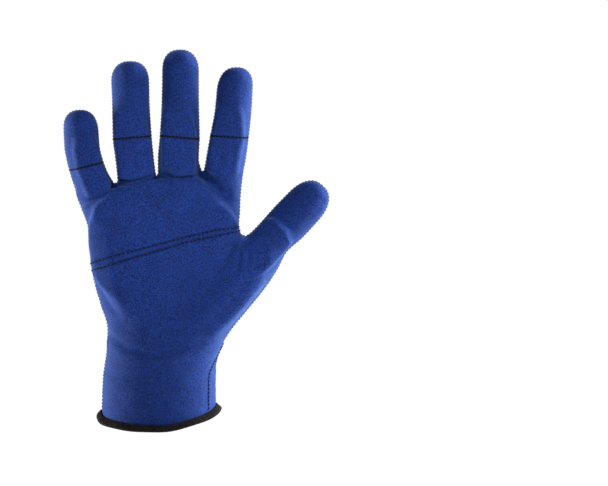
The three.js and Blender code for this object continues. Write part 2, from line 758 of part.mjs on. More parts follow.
// The overlocked edge hangs just below the hem and stands out at its foot.
function bindingGeometry() {
  const rounded = (value) => Math.sign(value) * Math.abs(value) ** (2 / palmPower);
  const points = [];
  for (let i = 0; i < bindingSides; i += 1) {
    const angle = (2 * Math.PI * i) / bindingSides;
    const deep = Math.sin(angle) > 0 ? hemOval.front : hemOval.back;
    const x = hemOval.middle + hemOval.half * rounded(Math.cos(angle));
    const y = -deep * rounded(Math.sin(angle));
    const out = outward(x, y, aboveHem);
    const drop = hemDrop(x, y);
    const toRight = (x - hemOval.middle + hemOval.half) / (2 * hemOval.half);
    const flare = bindingFlareRight * toRight ** 2 + bindingFlareLeft * (1 - toRight) ** 2;
    for (const corner of bindingProfile) {
      const r = corner.out + (flare * corner.down) / bindingHeight;
      points.push(x + out.x * r, y + out.y * r, -drop - bindingGap - corner.down);
    }
  }
  const n = bindingProfile.length;
  const index = [];
  for (let i = 0; i < bindingSides; i += 1) {
    const next = (i + 1) % bindingSides;
    for (let j = 0; j < n; j += 1) {
      const k = (j + 1) % n;
      index.push(i * n + j, next * n + k, i * n + k);
      index.push(i * n + j, next * n + j, next * n + k);
    }
  }
  const geometry = new THREE.BufferGeometry();
  geometry.setAttribute('position', new THREE.Float32BufferAttribute(points, 3));
  geometry.setIndex(index);
  return geometry;
}

addPiece('cuff_binding', bindingGeometry(), finishes.thread);

export default glove;
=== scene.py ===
# %% [markdown]
# # An anti-impact glove liner
# This glove is two pieces of knitted cloth, one for the palm and one for the back of the hand,
# sewn together along the sides of the fingers. Foam pads lie under the palm cloth, and stitched
# lines quilt them. The glove is shown filled, as it is on a hand.
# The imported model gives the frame: every piece below is worked out in metres in its space.

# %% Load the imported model
import math

import bpy
import numpy as np
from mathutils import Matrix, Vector


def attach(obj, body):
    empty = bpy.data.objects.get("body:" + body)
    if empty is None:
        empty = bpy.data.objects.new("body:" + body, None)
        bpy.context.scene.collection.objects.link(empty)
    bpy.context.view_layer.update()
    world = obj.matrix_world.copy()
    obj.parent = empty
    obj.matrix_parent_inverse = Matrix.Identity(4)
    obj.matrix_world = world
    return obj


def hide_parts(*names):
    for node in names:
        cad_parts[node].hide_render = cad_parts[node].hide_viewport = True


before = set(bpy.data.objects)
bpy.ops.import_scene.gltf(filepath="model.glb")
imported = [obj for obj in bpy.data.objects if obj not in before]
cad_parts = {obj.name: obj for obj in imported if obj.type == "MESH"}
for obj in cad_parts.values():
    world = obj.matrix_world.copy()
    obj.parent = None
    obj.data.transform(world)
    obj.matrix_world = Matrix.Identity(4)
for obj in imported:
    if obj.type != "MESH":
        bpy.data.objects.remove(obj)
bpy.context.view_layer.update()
MM = 0.001
print("solids:", len(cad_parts))

# %% [markdown]
# ## The driving sizes
# A pattern cutter starts from a table: how wide the hand is at each height. The tables below say
# that for the palm, the four fingers and the thumb. Everything else follows from them.

# %% Palm, fingers and thumb
# Columns: height, left, right, front depth, back depth, in millimetres.
palm_sections = MM * np.array([
    [-20, -36.2, 35.1, 26.5, 26.5],
    [0, -36.2, 35.1, 26, 26],
    [22, -35.4, 35.2, 25, 24.5],
    [38, -33.2, 36.0, 23.5, 22.5],
    [52, -32.6, 38.5, 21, 20.5],
    [68, -37.1, 41.5, 18.5, 18.5],
    [84, -41.4, 45.0, 16.5, 17],
    [100, -43.2, 48.0, 15.5, 16],
    [112, -44.4, 49.6, 14.5, 15],
    [122, -45.3, 49.0, 13.5, 14.5],
    [134, -49.4, 47.6, 12.5, 13.5],
    [150, -51.0, 46.0, 11.5, 12.5],
])
LEFT, RIGHT, FRONT, BACK = 1, 2, 3, 4

# Columns: across, height of the palm's top edge.
palm_top = MM * np.array([[-56, 135], [-28, 140.5], [-2, 145.5], [27, 148.5], [56, 149]])
webs = MM * np.array([[-28.2, 142.4], [-1.7, 147.4], [26.9, 150.0]])
side_web_left = MM * np.array([-53.4, 141])
side_web_right = MM * np.array([51.8, 149])

# Each finger: tip, start of the rounded tip, heights of the pads and the stitched line. pad_sides are the
# left and right ends of the pads at their foot, stitched line, shoulder and top, as shares of half the
# finger's width. Columns of sections: height, left and right.
fingers = [
    dict(name="little", tip=(-49.3, 189), tip_start=176, pad_foot=137, stitch=(151.3, 156.3), pad_top=171,
         pad_sides=[[-0.3, 0.75], [-0.35, 0.9], [-0.3, 0.75], [-0.15, 0.5]],
         sections=[[112, -42.0, -24.0], [142, -53.4, -28.2], [150, -55.9, -32.4], [158, -57.9, -35.3],
                   [166, -59.2, -37.2], [190, -60.0, -38.6]]),
    dict(name="ring", tip=(-17.8, 219.4), tip_start=205, pad_foot=147, stitch=(170.9, 172.8), pad_top=190,
         pad_sides=[[-0.7, 0.8], [-0.7, 0.85], [-0.75, 0.32], [-0.5, -0.05]],
         sections=[[112, -25.0, -3.0], [146, -26.2, -2.2], [158, -27.4, -3.4], [172, -29.0, -4.7],
                   [196, -29.3, -6.0], [220, -30.4, -6.2]]),
    dict(name="middle", tip=(13.2, 226.6), tip_start=213, pad_foot=150, stitch=(173.1, 170.9), pad_top=191,
         pad_sides=[[-0.6, 0.52], [-0.7, 0.62], [-0.75, 0.42], [-0.5, 0.15]],
         sections=[[112, 0.5, 25.5], [150, -0.9, 26.2], [158, -0.9, 24.6], [172, 0.3, 25.2],
                   [196, 1.7, 24.8], [227, 2.3, 24.8]]),
    dict(name="index", tip=(48.2, 215.6), tip_start=201, pad_foot=151, stitch=(172.8, 171.7), pad_top=191,
         pad_sides=[[-0.75, 0.5], [-0.85, 0.58], [-0.8, 0.42], [-0.5, 0.15]],
         sections=[[112, 27.0, 48.0], [150, 27.9, 52.4], [158, 29.1, 53.9], [172, 31.6, 55.8],
                   [190, 34.9, 57.6], [216, 37.0, 58.9]]),
]
for finger in fingers:
    for key in ("tip", "tip_start", "pad_foot", "stitch", "pad_top", "pad_sides", "sections"):
        finger[key] = MM * np.array(finger[key], float)

# The thumb runs along a straight line. Columns: along, inner side, outer side, depth.
thumb_root = MM * np.array([19.06, 51.25])
thumb_along = np.array([0.6747, 0.7381])
thumb_length = 123 * MM
thumb_tip_start = 104 * MM
thumb_foot = 25 * MM
thumb_foot_round = 30 * MM
thumb_sections = MM * np.array([
    [-25, 12, 18, 16],
    [0, 16, 20.2, 19.5],
    [12, 17, 19, 20],
    [32, 17, 18.1, 19],
    [50, 15.5, 17, 16.5],
    [64, 13.5, 14.9, 13.5],
    [78, 12.8, 11.6, 11],
    [92, 13.0, 12.9, 11],
    [108, 12.6, 12.8, 10.8],
    [123, 12.4, 12.4, 10.6],
])
INNER, OUTER, DEPTH = 1, 2, 3
thumb_web = MM * np.array([54.0, 111.0])
thumb_web_from = MM * np.array([46, 92])
thumb_heel = MM * np.array([38.6, 43.0])
thumb_heel_from = np.array([20 * MM, thumb_heel[1] + 3 * MM])

# Stitched double line across the palm, from its left end to its right end.
palm_stitch = MM * np.array([[-42, 90.6], [47.8, 115.3]])
stitch_half = 1.6 * MM
print("fingers:", [finger["name"] for finger in fingers])

# %% [markdown]
# ## The worn form as a distance
# A filled glove has no corners: fingers run softly into the palm. So each finger, the thumb and the
# palm is a rounded tube, told by its distance, and the distances are joined with a soft minimum.
# The cloth lies where the joined distance is zero.

# %% Reading the tables
def ease(share):
    """0 below 0, 1 above 1, and 3 t squared minus 2 t cubed between them."""
    t = np.clip(share, 0, 1)
    return t * t * (3 - 2 * t)


def mix(a, b, share):
    return a + (b - a) * share


def read(table, at, column):
    """A column of a table between its rows: a cubic whose slope at a row is the harmonic mean of the
    slopes beside it, so that it never swings past the rows."""
    keys, values = table[:, 0], table[:, column]
    t = np.clip(at, keys[0], keys[-1])
    i = np.clip(np.searchsorted(keys, t, side="left") - 1, 0, len(keys) - 2)
    slope = np.diff(values) / np.diff(keys)
    before, after = slope[:-1], slope[1:]
    same_way = before * after > 0
    between = np.where(same_way, 2 * before * after / np.where(same_way, before + after, 1), 0)
    tangent = np.concatenate([slope[:1], between, slope[-1:]])
    step = keys[i + 1] - keys[i]
    u = (t - keys[i]) / step
    rise = (u * (1 - u) ** 2 * tangent[i] - u * u * (1 - u) * tangent[i + 1]) * step
    return values[i] + (values[i + 1] - values[i]) * ease(u) + rise


def sides_at(table, z):
    return read(table, z, LEFT), read(table, z, RIGHT)


print("palm at 100 mm:", *(round(float(side) / MM, 1) for side in sides_at(palm_sections, 100 * MM)))


# %% Distance helpers
def oval_distance(across, depth, half_width, half_depth, power):
    """How far outside an oval a place is, near enough: the oval's own size measure, less one, divided
    by how fast that measure grows."""
    a = np.abs(across) / half_width + 1e-6
    b = np.abs(depth) / half_depth + 1e-6
    rho = (a ** power + b ** power) ** (1 / power)
    slope_a = (a / rho) ** (power - 1) / half_width
    slope_b = (b / rho) ** (power - 1) / half_depth
    return (rho - 1) / np.hypot(slope_a, slope_b)


def with_end(flat, past):
    """The distance past a tube's end: the root of flat squared plus past squared."""
    return np.where(past > 0, np.hypot(np.maximum(flat, 0), past), flat)


def soft_min(a, b, run):
    """The smaller of two distances, rounded where they are within run of each other."""
    h = np.maximum(run - np.abs(a - b), 0) / run
    return np.minimum(a, b) - h * h * run / 4


def soft_max(a, b, run):
    return -soft_min(-a, -b, run)


def round_end(at, start, end, power):
    """The share of full size left on a rounded end: the root of one minus t to a power."""
    t = np.clip((at - start) / (end - start), 0, 1)
    return (1 - t ** power) ** (1 / power)


print("half way along a round end:", round(float(round_end(0.5, 0, 1, 2)), 3))

# %% Distance of a finger
tip_power = 2.4             # how blunt the tips are: 2 is a half circle
finger_depth_share = 0.88   # depth of a finger over its width
finger_root = 112 * MM      # the tubes of the fingers start inside the palm
finger_root_round = 14 * MM
least_size = 0.01           # no section is smaller than this share of its full size


def finger_middle(finger, z):
    """The middle of a finger, which leans over to the tip, and half its width."""
    left, right = sides_at(finger["sections"], z)
    tip_x, tip_z = finger["tip"]
    lean = ease((z - finger["tip_start"]) / (tip_z - finger["tip_start"]))
    return mix((left + right) / 2, tip_x, lean), (right - left) / 2


def finger_distance(finger, x, y, z):
    middle, half = finger_middle(finger, z)
    tip_z = finger["tip"][1]
    full = round_end(z, finger["tip_start"], tip_z, tip_power)
    foot = round_end(-z, -finger_root - finger_root_round, -finger_root, 2)
    size = np.maximum(full * foot, least_size)
    past = np.maximum(np.maximum(z - tip_z, finger_root - z), 0)
    flat = oval_distance(x - middle, y, half * size, half * finger_depth_share * size, 2)
    return with_end(flat, past)


print("middle finger's tip at", np.round(fingers[2]["tip"] / MM, 1), "mm")

# %% Distances of palm and thumb
palm_power = 2.3            # how square the palm is: 2 is an ellipse
palm_top_round = 13 * MM


def palm_distance(x, y, z):
    left, right = sides_at(palm_sections, z)
    deep = np.where(y < 0, read(palm_sections, z, FRONT), read(palm_sections, z, BACK))
    top = read(palm_top, x, 1)
    full = np.maximum(round_end(z, top - palm_top_round, top, 2), least_size)
    flat = oval_distance(x - (left + right) / 2, y, (right - left) / 2, deep * full, palm_power)
    return with_end(flat, np.maximum(z - top, 0))


def thumb_place(x, z):
    """A place as its length along the thumb's line and its distance to the line's inner side."""
    dx, dz = x - thumb_root[0], z - thumb_root[1]
    return dx * thumb_along[0] + dz * thumb_along[1], dz * thumb_along[0] - dx * thumb_along[1]


def thumb_point(s, e):
    x = thumb_root[0] + s * thumb_along[0] - e * thumb_along[1]
    z = thumb_root[1] + s * thumb_along[1] + e * thumb_along[0]
    return np.stack([x, z], -1)


def thumb_distance(x, y, z):
    s, e = thumb_place(x, z)
    inner, outer = read(thumb_sections, s, INNER), read(thumb_sections, s, OUTER)
    full = round_end(s, thumb_tip_start, thumb_length, tip_power)
    foot = round_end(-s, thumb_foot - thumb_foot_round, thumb_foot, 2)
    size = np.maximum(full * foot, least_size)
    offset = e - (inner - outer) / 2 * full
    deep = read(thumb_sections, s, DEPTH)
    flat = oval_distance(offset, y, (inner + outer) / 2 * size, deep * size, 2)
    return with_end(flat, np.maximum(np.maximum(s - thumb_length, -thumb_foot - s), 0))


print("thumb's tip at", np.round(thumb_point(thumb_length, 0.0) / MM, 1), "mm")

# %% The whole form
finger_blend = 0.8 * MM     # the soft minimum's run between two fingers
web_blend = 5.0 * MM        # between the fingers and the palm
thumb_blend = 9.0 * MM      # between the thumb and the palm


def distance(x, y, z):
    """Below zero inside the worn glove, above it outside, zero on the outer face of its cloth."""
    hand = None
    for finger in fingers:
        one = finger_distance(finger, x, y, z)
        hand = one if hand is None else soft_min(hand, one, finger_blend)
    body = soft_min(palm_distance(x, y, z), thumb_distance(x, y, z), thumb_blend)
    return soft_min(body, hand, web_blend)


print("distance at the palm's middle:", round(float(distance(0.0, 0.0, 0.1)) / MM, 1), "mm")

# %% Finding the surface
search_step = 0.5 * MM
search_spare = 12 * MM      # how far past its target a line is followed
deepest = 45 * MM           # the cloth lies nearer than this to the seam's plane


def halved(inside, low, high, times=26):
    """The end of a stretch from inside to outside, by halving it again and again."""
    for _ in range(times):
        middle = (low + high) / 2
        is_in = inside(middle)
        low, high = np.where(is_in, middle, low), np.where(is_in, high, middle)
    return (low + high) / 2


def outline_places(start, target):
    """Where the lines from places inside towards their targets first cross the outline."""
    way = target - start
    length = np.linalg.norm(way, axis=1)
    way = way / length[:, None]
    reach = length + search_spare
    ts = np.arange(1, int(reach.max() / search_step) + 2) * search_step
    probe = start[:, None] + ts[None, :, None] * way[:, None]
    found = distance(probe[..., 0], 0 * probe[..., 0], probe[..., 1]) >= 0
    first = (found | (ts[None] >= reach[:, None])).argmax(axis=1)
    inside = lambda t: distance(start[:, 0] + t * way[:, 0], 0 * t, start[:, 1] + t * way[:, 1]) < 0
    t = halved(inside, ts[first] - search_step, ts[first])
    return start + t[:, None] * way


def surface_depth(x, z, side):
    """How far the cloth lies in front of the seam's plane, or behind it."""
    return halved(lambda t: distance(x, side * t, z) < 0, 0 * x, 0 * x + deepest)


print("webs of the fingers:", np.round(outline_places(webs - [0, 25 * MM], webs) / MM, 1).tolist())

# %% [markdown]
# ## A grid over the hand
# The cloth is a grid of rows. The palm has rows from the knuckles to the hem, each finger has rows
# up to its tip, and the thumb's rows fan out from the palm's side. Rows end on the outline, and
# their places crowd towards both ends, where a round form turns away fastest.

# %% Rows of the palm
finger_columns = 34
thumb_columns = 46
knuckle_rows = 44
wrist_rows = 46
web_below = 25 * MM         # the search for an outline starts inside: this far below a web
end_start = 40 * MM         # and here for the two ends of the knuckle line
left_start, right_start, side_target = -20 * MM, 25 * MM, 50 * MM
even_columns, even_rows = 0.55, 0.45    # how far crowded rows and columns are mixed with even ones
level_early = 1.3           # the rows have turned level after one over this share of the knuckle rows


def crowded(count):
    """Shares from 0 to 1 that crowd at both ends: one minus the cosine of a half turn, halved."""
    return (1 - np.cos(np.pi * np.arange(count + 1) / count)) / 2


def spread(count, even):
    return mix(crowded(count), np.arange(count + 1) / count, even)


def row_places(starts, ends, shares):
    """Places from each start to its end, at the given shares of the way."""
    shares = np.broadcast_to(shares, (len(starts), shares.shape[-1]))
    return starts[:, None] + (ends - starts)[:, None] * shares[..., None]


def level_ends(start, target, z):
    """Where level lines at the given heights leave the hand."""
    return outline_places(np.stack([np.full_like(z, start), z], 1), np.stack([np.full_like(z, target), z], 1))


def knuckle_line():
    """The palm's top row: it runs from side to side through the webs of the fingers."""
    web_edges = outline_places(webs - [0, web_below], webs)
    ends = outline_places(np.array([[-end_start, side_web_left[1]], [end_start, side_web_right[1]]]),
                          np.array([side_web_left, side_web_right]))
    marks = np.vstack([ends[:1], web_edges, ends[1:]])
    spans = row_places(marks[:-1], marks[1:], crowded(finger_columns))
    return np.vstack([spans[0, :1], *spans[:, 1:]]), ends


def palm_block():
    """Rows of the palm from the knuckles to the hem, and which places are on its outline."""
    top, ends = knuckle_line()
    top_shares = (top[:, 0] - ends[0, 0]) / (ends[1, 0] - ends[0, 0])
    top_lift = top[:, 1] - mix(ends[0, 1], ends[1, 1], top_shares)

    t = spread(knuckle_rows, even_rows)[1:]
    heel_z = thumb_heel[1]
    left_z = mix(side_web_left[1], palm_stitch[0, 1] - stitch_half, t)
    right_z = mix(side_web_right[1], thumb_web[1], t)
    beside_thumb = mix(left_z[-1], heel_z, np.arange(1, thumb_columns + 1) / thumb_columns)
    low_z = mix(heel_z, 0, np.arange(1, wrist_rows + 1) / wrist_rows)

    starts = level_ends(left_start, -side_target, np.concatenate([left_z, beside_thumb, low_z]))
    web = outline_places(thumb_web_from[None], thumb_web[None])
    heel = outline_places(thumb_heel_from[None], thumb_heel[None])
    roots = web + (heel - web) * crowded(thumb_columns)[1:, None]
    stops = np.vstack([level_ends(right_start, side_target, right_z[:-1]), web, roots,
                       level_ends(right_start, side_target, low_z)])
    settled = np.concatenate([ease(t * level_early), np.ones(thumb_columns + wrist_rows)])[:, None]
    rows = row_places(starts, stops, mix(top_shares[None], spread(len(top) - 1, even_columns)[None], settled))
    rows[..., 1] += top_lift[None] * (1 - settled)
    rows = np.concatenate([top[None], rows])
    edge = np.zeros(rows.shape[:2], bool)
    edge[:, [0, -1]] = True
    edge[knuckle_rows + 1:knuckle_rows + thumb_columns, -1] = False
    edge[0, ::finger_columns] = True
    return rows, edge


print("knuckle line:", len(knuckle_line()[0]), "places")

# %% Rows of a finger and the thumb
lower_finger_rows = 30      # from the knuckle line to the stitched line
upper_finger_rows = 32      # from there to the rounded tip
tip_rows = 16
thumb_rows = 84
even_finger_rows, even_thumb_rows = 0.35, 0.35
upper_crowding = 1.5        # the upper rows of a finger crowd towards its stitched line
tip_inset = 0.02 * MM       # the one place of a tip lies this far inside it


def finger_block(finger, first_row):
    """Rows of a finger above the knuckle line, the last of them all at the tip."""
    lower = spread(lower_finger_rows, even_finger_rows)[1:]
    upper = (np.arange(1, upper_finger_rows + 1) / upper_finger_rows) ** upper_crowding
    turn = np.sin(np.pi / 2 * np.arange(1, tip_rows) / tip_rows)
    tip_x, tip_z = finger["tip"]
    left_z, right_z = (np.concatenate([
        mix(first_row[end, 1], finger["stitch"][end], lower),
        mix(finger["stitch"][end], finger["tip_start"], upper),
        mix(finger["tip_start"], tip_z, turn)]) for end in (0, -1))
    level = (left_z + right_z) / 2
    middle, half = finger_middle(finger, level)
    centre = np.stack([middle, level], 1)
    starts = outline_places(centre, np.stack([middle - half, left_z], 1))
    stops = outline_places(centre, np.stack([middle + half, right_z], 1))
    tip = np.broadcast_to([tip_x, tip_z - tip_inset], (1, finger_columns + 1, 2))
    return np.concatenate([row_places(starts, stops, crowded(finger_columns)), tip])


def thumb_block(root_row):
    """Rows of the thumb from its root to its tip."""
    web_s, heel_s = thumb_place(*root_row[0])[0], thumb_place(*root_row[-1])[0]
    t = np.arange(1, thumb_rows) / thumb_rows
    rest = mix(1 - np.sin(np.pi / 2 * t), 1 - t, even_thumb_rows)
    inner_s, outer_s = mix(thumb_length, web_s, rest), mix(thumb_length, heel_s, rest)
    inner = thumb_point(inner_s, read(thumb_sections, inner_s, INNER))
    outer = thumb_point(outer_s, -read(thumb_sections, outer_s, OUTER))
    centre = (inner + outer) / 2
    rows = row_places(outline_places(centre, inner), outline_places(centre, outer), crowded(thumb_columns))
    tip = np.broadcast_to(thumb_point(thumb_length - tip_inset, 0.0), (1, thumb_columns + 1, 2))
    return np.concatenate([rows, tip])


print("rows of a finger:", lower_finger_rows + upper_finger_rows + tip_rows, "of the thumb:", thumb_rows)

# %% One list of places for the whole glove
class Grid:
    """The places of all blocks in one list, with the blocks as tables of places."""

    def __init__(self):
        palm, palm_edge = palm_block()
        self.places = [palm.reshape(-1, 2)]
        self.edge = [palm_edge.ravel()]
        self.count = palm_edge.size
        self.palm = np.arange(self.count).reshape(palm_edge.shape)
        self.fingers = []
        for f, finger in enumerate(fingers):
            span = slice(f * finger_columns, (f + 1) * finger_columns + 1)
            self.fingers.append(self.add(finger_block(finger, palm[0, span]), self.palm[0, span]))
        span = slice(knuckle_rows, knuckle_rows + thumb_columns + 1)
        self.thumb = self.add(thumb_block(palm[span, -1]), self.palm[span, -1])
        self.places = np.concatenate(self.places)
        self.edge = np.concatenate(self.edge)

    def add(self, rows, first):
        """Adds a block whose first row is there already and whose last row is one place."""
        body = rows[:-1]
        edge = np.zeros(body.shape[:2], bool)
        edge[:, [0, -1]] = True
        ids = self.count + np.arange(edge.size).reshape(edge.shape)
        self.places += [body.reshape(-1, 2), rows[-1, :1]]
        self.edge += [edge.ravel(), [True]]
        self.count += ids.size + 1
        return np.vstack([first, ids, np.full(ids.shape[1], self.count - 1)])

    def blocks(self):
        """Each block by its name, as rows that go up."""
        named = {finger["name"]: ids for finger, ids in zip(fingers, self.fingers)}
        return {"palm": self.palm[::-1], **named, "thumb": self.thumb[::-1, ::-1]}

    def outline(self):
        """The places along the seam, from the hem on the little finger's side to the hem on the thumb's."""
        line = list(self.palm[::-1, 0])
        for ids in self.fingers:
            line += [*ids[1:, 0], *ids[-2:0:-1, -1], ids[0, -1]]
        line += [*self.palm[1:knuckle_rows + 1, -1], *self.thumb[1:, 0], *self.thumb[-2:0:-1, -1]]
        return np.array(line + [*self.palm[knuckle_rows + thumb_columns:, -1]])


grid = Grid()
print("places in the grid:", len(grid.places))

# %% [markdown]
# ## Pads under the cloth
# A pad is a slab of foam. It lifts the cloth, and because it's stiff it flattens the round form
# under it, so its edge shows as a fold that catches the light. The cloth comes down from it in a
# straight slope, as a tent does, and a stitched line pulls it down sharply between two pads.

# %% Outlines of the pads
pad_inset = 0.6 * MM        # how far a pad stays away from a stitched line
pad_top_over = 6 * MM       # how far past its outline's top a finger's upper pad still lifts the cloth
shoulder_share = 0.6        # where an upper pad starts to narrow, from its stitched line to its top
inset_up = np.array([0, pad_inset])


def across(finger, z, share):
    return np.array([mix(*sides_at(finger["sections"], z), (share + 1) / 2), z])


def finger_pads(finger):
    """The two pads of a finger: one below its stitched line, one above it with a narrower top."""
    foot, line, shoulder, top = finger["pad_sides"] / MM
    shoulder_height = mix(finger["stitch"].mean(), finger["pad_top"], shoulder_share)
    low_left, low_right = (across(finger, finger["pad_foot"], share) for share in foot)
    left, right = (across(finger, mix(*finger["stitch"], (share + 1) / 2), share) for share in line)
    mid_left, mid_right = (across(finger, shoulder_height, share) for share in shoulder)
    over = np.array([0, pad_top_over])
    top_left, top_right = (across(finger, finger["pad_top"], share) + over for share in top)
    lower = [low_left, low_right, right - inset_up, left - inset_up]
    upper = [left + inset_up, right + inset_up, mid_right, top_right, top_left, mid_left]
    return {f"{finger['name']}_pad_lower": np.array(lower), f"{finger['name']}_pad_upper": np.array(upper)}


pads = {}
for finger in fingers:
    pads.update(finger_pads(finger))
pads["palm_pad_upper"] = np.vstack([
    palm_stitch[0] + inset_up, palm_stitch[1] + inset_up,
    MM * np.array([[45.3, 120], [39, 129.4], [32.8, 137.5], [25, 144], [12, 144.5], [0, 144], [-14, 142],
                   [-24, 139], [-32, 135], [-38.5, 128], [-41, 118]])])
pads["palm_pad_heel"] = np.vstack([
    palm_stitch[0] - inset_up,
    MM * np.array([[-37.6, 85.6], [-33.6, 79.8], [-28, 74.2], [-21, 69.6], [-12, 67.4], [10, 64], [32, 58],
                   [46, 62], [56, 80], [52, 104]]),
    palm_stitch[1] - inset_up])
pads["thumb_pad"] = MM * np.array([
    [34, 60], [46, 66], [59.7, 85.6], [70.1, 95], [77.2, 103.3], [80.3, 107.5], [78.4, 113.7], [72.2, 119.4],
    [67, 118.9], [61, 113], [52, 104], [44, 90]])
print("pads:", *pads)

# %% Distances to outlines and lines
def line_distance(a, b, x, z):
    ex, ez = b - a
    t = np.clip(((x - a[0]) * ex + (z - a[1]) * ez) / (ex * ex + ez * ez), 0, 1)
    return np.hypot(x - a[0] - t * ex, z - a[1] - t * ez)


def inside_outline(outline, x, z):
    """Distance to a closed outline, above zero inside it."""
    nearest = np.full(np.shape(x), np.inf)
    inside = np.zeros(np.shape(x), bool)
    for a, b in zip(outline, np.roll(outline, -1, axis=0)):
        nearest = np.minimum(nearest, line_distance(a, b, x, z))
        ex, ez = b - a
        if ez != 0:
            inside ^= ((a[1] > z) != (b[1] > z)) & (x < a[0] + (z - a[1]) / ez * ex)
    return np.where(inside, nearest, -nearest)


inward = float(inside_outline(pads["palm_pad_heel"], 0.0, 0.085))
print("a place of the heel pad lies", round(inward / MM, 1), "mm inside its edge")

# %% Lift over the pads
pad_rise = {"palm": 1.8 * MM, "thumb": 1.0 * MM}    # how far a pad lifts the cloth
finger_pad_rise = 1.1 * MM
pad_flatten = 0.85          # share of the round form's drop that the slab of foam takes out
pad_flatten_most = 3.0 * MM
pad_slope = 3.2 * MM        # how far from a pad the cloth comes down again
pad_top_fade = 11 * MM      # over how much height the upper pad of a finger thins out to its top
web_slope = 4.6 * MM        # slope of the upper palm pad beside the thumb's web
web_slope_from, web_slope_run = 24 * MM, 14 * MM
web_slope_top, web_slope_fade = 140 * MM, 16 * MM
soft_slope = 16 * MM        # slope of the heel pad, which widens across the palm towards the thumb
soft_from, soft_run = -38 * MM, 28 * MM
edge_round, foot_round = 0.1, 0.35    # rounding at the pad's edge and at the slope's foot, as shares
facing_from, facing_full = 0.35, 0.85    # how far the cloth has to face the palm for a pad to lift it
groove_width = 0.75 * MM
groove_pull = 0.6
groove_facing = 0.25        # the stitched line pulls less and less as the cloth turns to the side
grooves = [(across(finger, finger["stitch"][0], -1), across(finger, finger["stitch"][1], 1))
           for finger in fingers]


def slope_width(name, x, z):
    """The slope round a pad: wider beside the thumb's web, and under the heel pad's right part."""
    if name == "palm_pad_upper":
        beside_web = ease((x - web_slope_from) / web_slope_run) * ease((web_slope_top - z) / web_slope_fade)
        return mix(pad_slope, web_slope, beside_web)
    if name == "palm_pad_heel":
        return mix(pad_slope, soft_slope, ease((x - soft_from) / soft_run))
    return pad_slope


def thickness_share(name, z):
    """How much of its full thickness a pad has at a height: a finger's upper pad thins out to its top."""
    for finger in fingers:
        if name == finger["name"] + "_pad_upper":
            return ease((finger["pad_top"] + pad_top_over - z) / pad_top_fade)
    return 1.0


def pad_lift(x, z, drop, facing):
    """Height of the cloth over the bare form: a slope up to each pad, the pad's rise, and a share of
    the drop of the round form, all pulled down along the stitched lines and where the form turns away."""
    share = np.zeros(np.shape(x))
    rise = np.zeros(np.shape(x))
    for name, outline in pads.items():
        slope = 1 + inside_outline(outline, x, z) / slope_width(name, x, z)
        own = soft_min(slope, 0 * slope + 1, edge_round)
        own = soft_max(own, 0 * own, foot_round) * thickness_share(name, z)
        share = np.maximum(share, own)
        rise = np.maximum(rise, own * pad_rise.get(name.split("_")[0], finger_pad_rise))
    pull = np.ones(np.shape(x))
    for a, b in grooves:
        pull = pull * (1 - groove_pull * np.exp(-(line_distance(a, b, x, z) / groove_width) ** 2))
    turned_to = ease((facing - facing_from) / (facing_full - facing_from))
    pulled = mix(1.0, pull, ease((facing - groove_facing) / (1 - groove_facing)))
    return pulled * turned_to * (rise + share * np.minimum(pad_flatten * drop, pad_flatten_most))


print("lift in the middle of the palm:", round(float(pad_lift(0.0, 0.12, 0.0, 1.0)) / MM, 2), "mm")

# %% [markdown]
# ## From the flat grid to the worn cloth
# Each place gets its depth from the distance, its outward direction from how the distance grows,
# and its height over the form from the pads and the creases. Then the hand's bend is added, and
# the hem is let down.

# %% Round the wrist
wrist = palm_sections[1]    # the row at the height of the hem
wrist_middle, wrist_half = (wrist[LEFT] + wrist[RIGHT]) / 2, (wrist[RIGHT] - wrist[LEFT]) / 2
seam_turn = 0.55            # angle by which the thumb's seam comes round on to the palm's face
seam_turn_top = 44 * MM
seam_turn_run = 22 * MM
furthest = 2                # the cloth lies nearer than this many times the oval's size


def outward(x, y, z):
    """The direction in which the distance grows fastest."""
    h = 0.05 * MM
    grow = np.stack([distance(x + h, y, z) - distance(x - h, y, z),
                     distance(x, y + h, z) - distance(x, y - h, z),
                     distance(x, y, z + h) - distance(x, y, z - h)], -1)
    return grow / np.linalg.norm(grow, axis=-1, keepdims=True)


def oval_angle(x, y, middle, half, front, back):
    """The angle round an oval: zero at the thumb's side, above zero on the palm's side."""
    return np.arctan2(-y / np.where(y < 0, front, back), (x - middle) / half)


def turn_seam(x, y, z):
    """Slides places round the wrist, most at the thumb's side, so that the seam lies on the palm."""
    turn = seam_turn * ease((seam_turn_top - z) / seam_turn_run)
    left, right = sides_at(palm_sections, z)
    front, back = read(palm_sections, z, FRONT), read(palm_sections, z, BACK)
    middle, half = (left + right) / 2, (right - left) / 2
    angle = oval_angle(x, y, middle, half, front, back)
    turned = angle + turn * (1 + np.cos(angle)) / 2
    dx = np.cos(turned) * half
    dy = -np.sin(turned)
    dy = dy * np.where(dy < 0, front, back)
    reach = halved(lambda r: distance(middle + r * dx, r * dy, z) < 0, 0 * x, 0 * x + furthest)
    moved = turn > 0
    return np.where(moved, middle + reach * dx, x), np.where(moved, reach * dy, y)


print("wrist:", round(2 * wrist_half / MM, 1), "mm wide")

# %% The bend of the hand and the hanging hem
finger_curl = 9 * MM
curl_start = 135 * MM
curl_run = 90 * MM
thumb_curl = 9 * MM
thumb_curl_start = 45 * MM
thumb_curl_run = 80 * MM
thumb_curl_side = 14 * MM
thumb_curl_fade = 22 * MM
hem_drop_front = 7.8 * MM
hem_drop_back = 3.0 * MM
hem_drop_power = 1.15
hem_drop_height = 40 * MM
hem_rise_right = 4.7 * MM   # how far the hem lies higher at the thumb's side
hem_wander = 0.4 * MM       # how far the hem wanders up and down
hem_waves = [(0.6, 5, 0.7), (0.4, 9, 2)]    # columns: share, waves round the wrist, turn of the wave


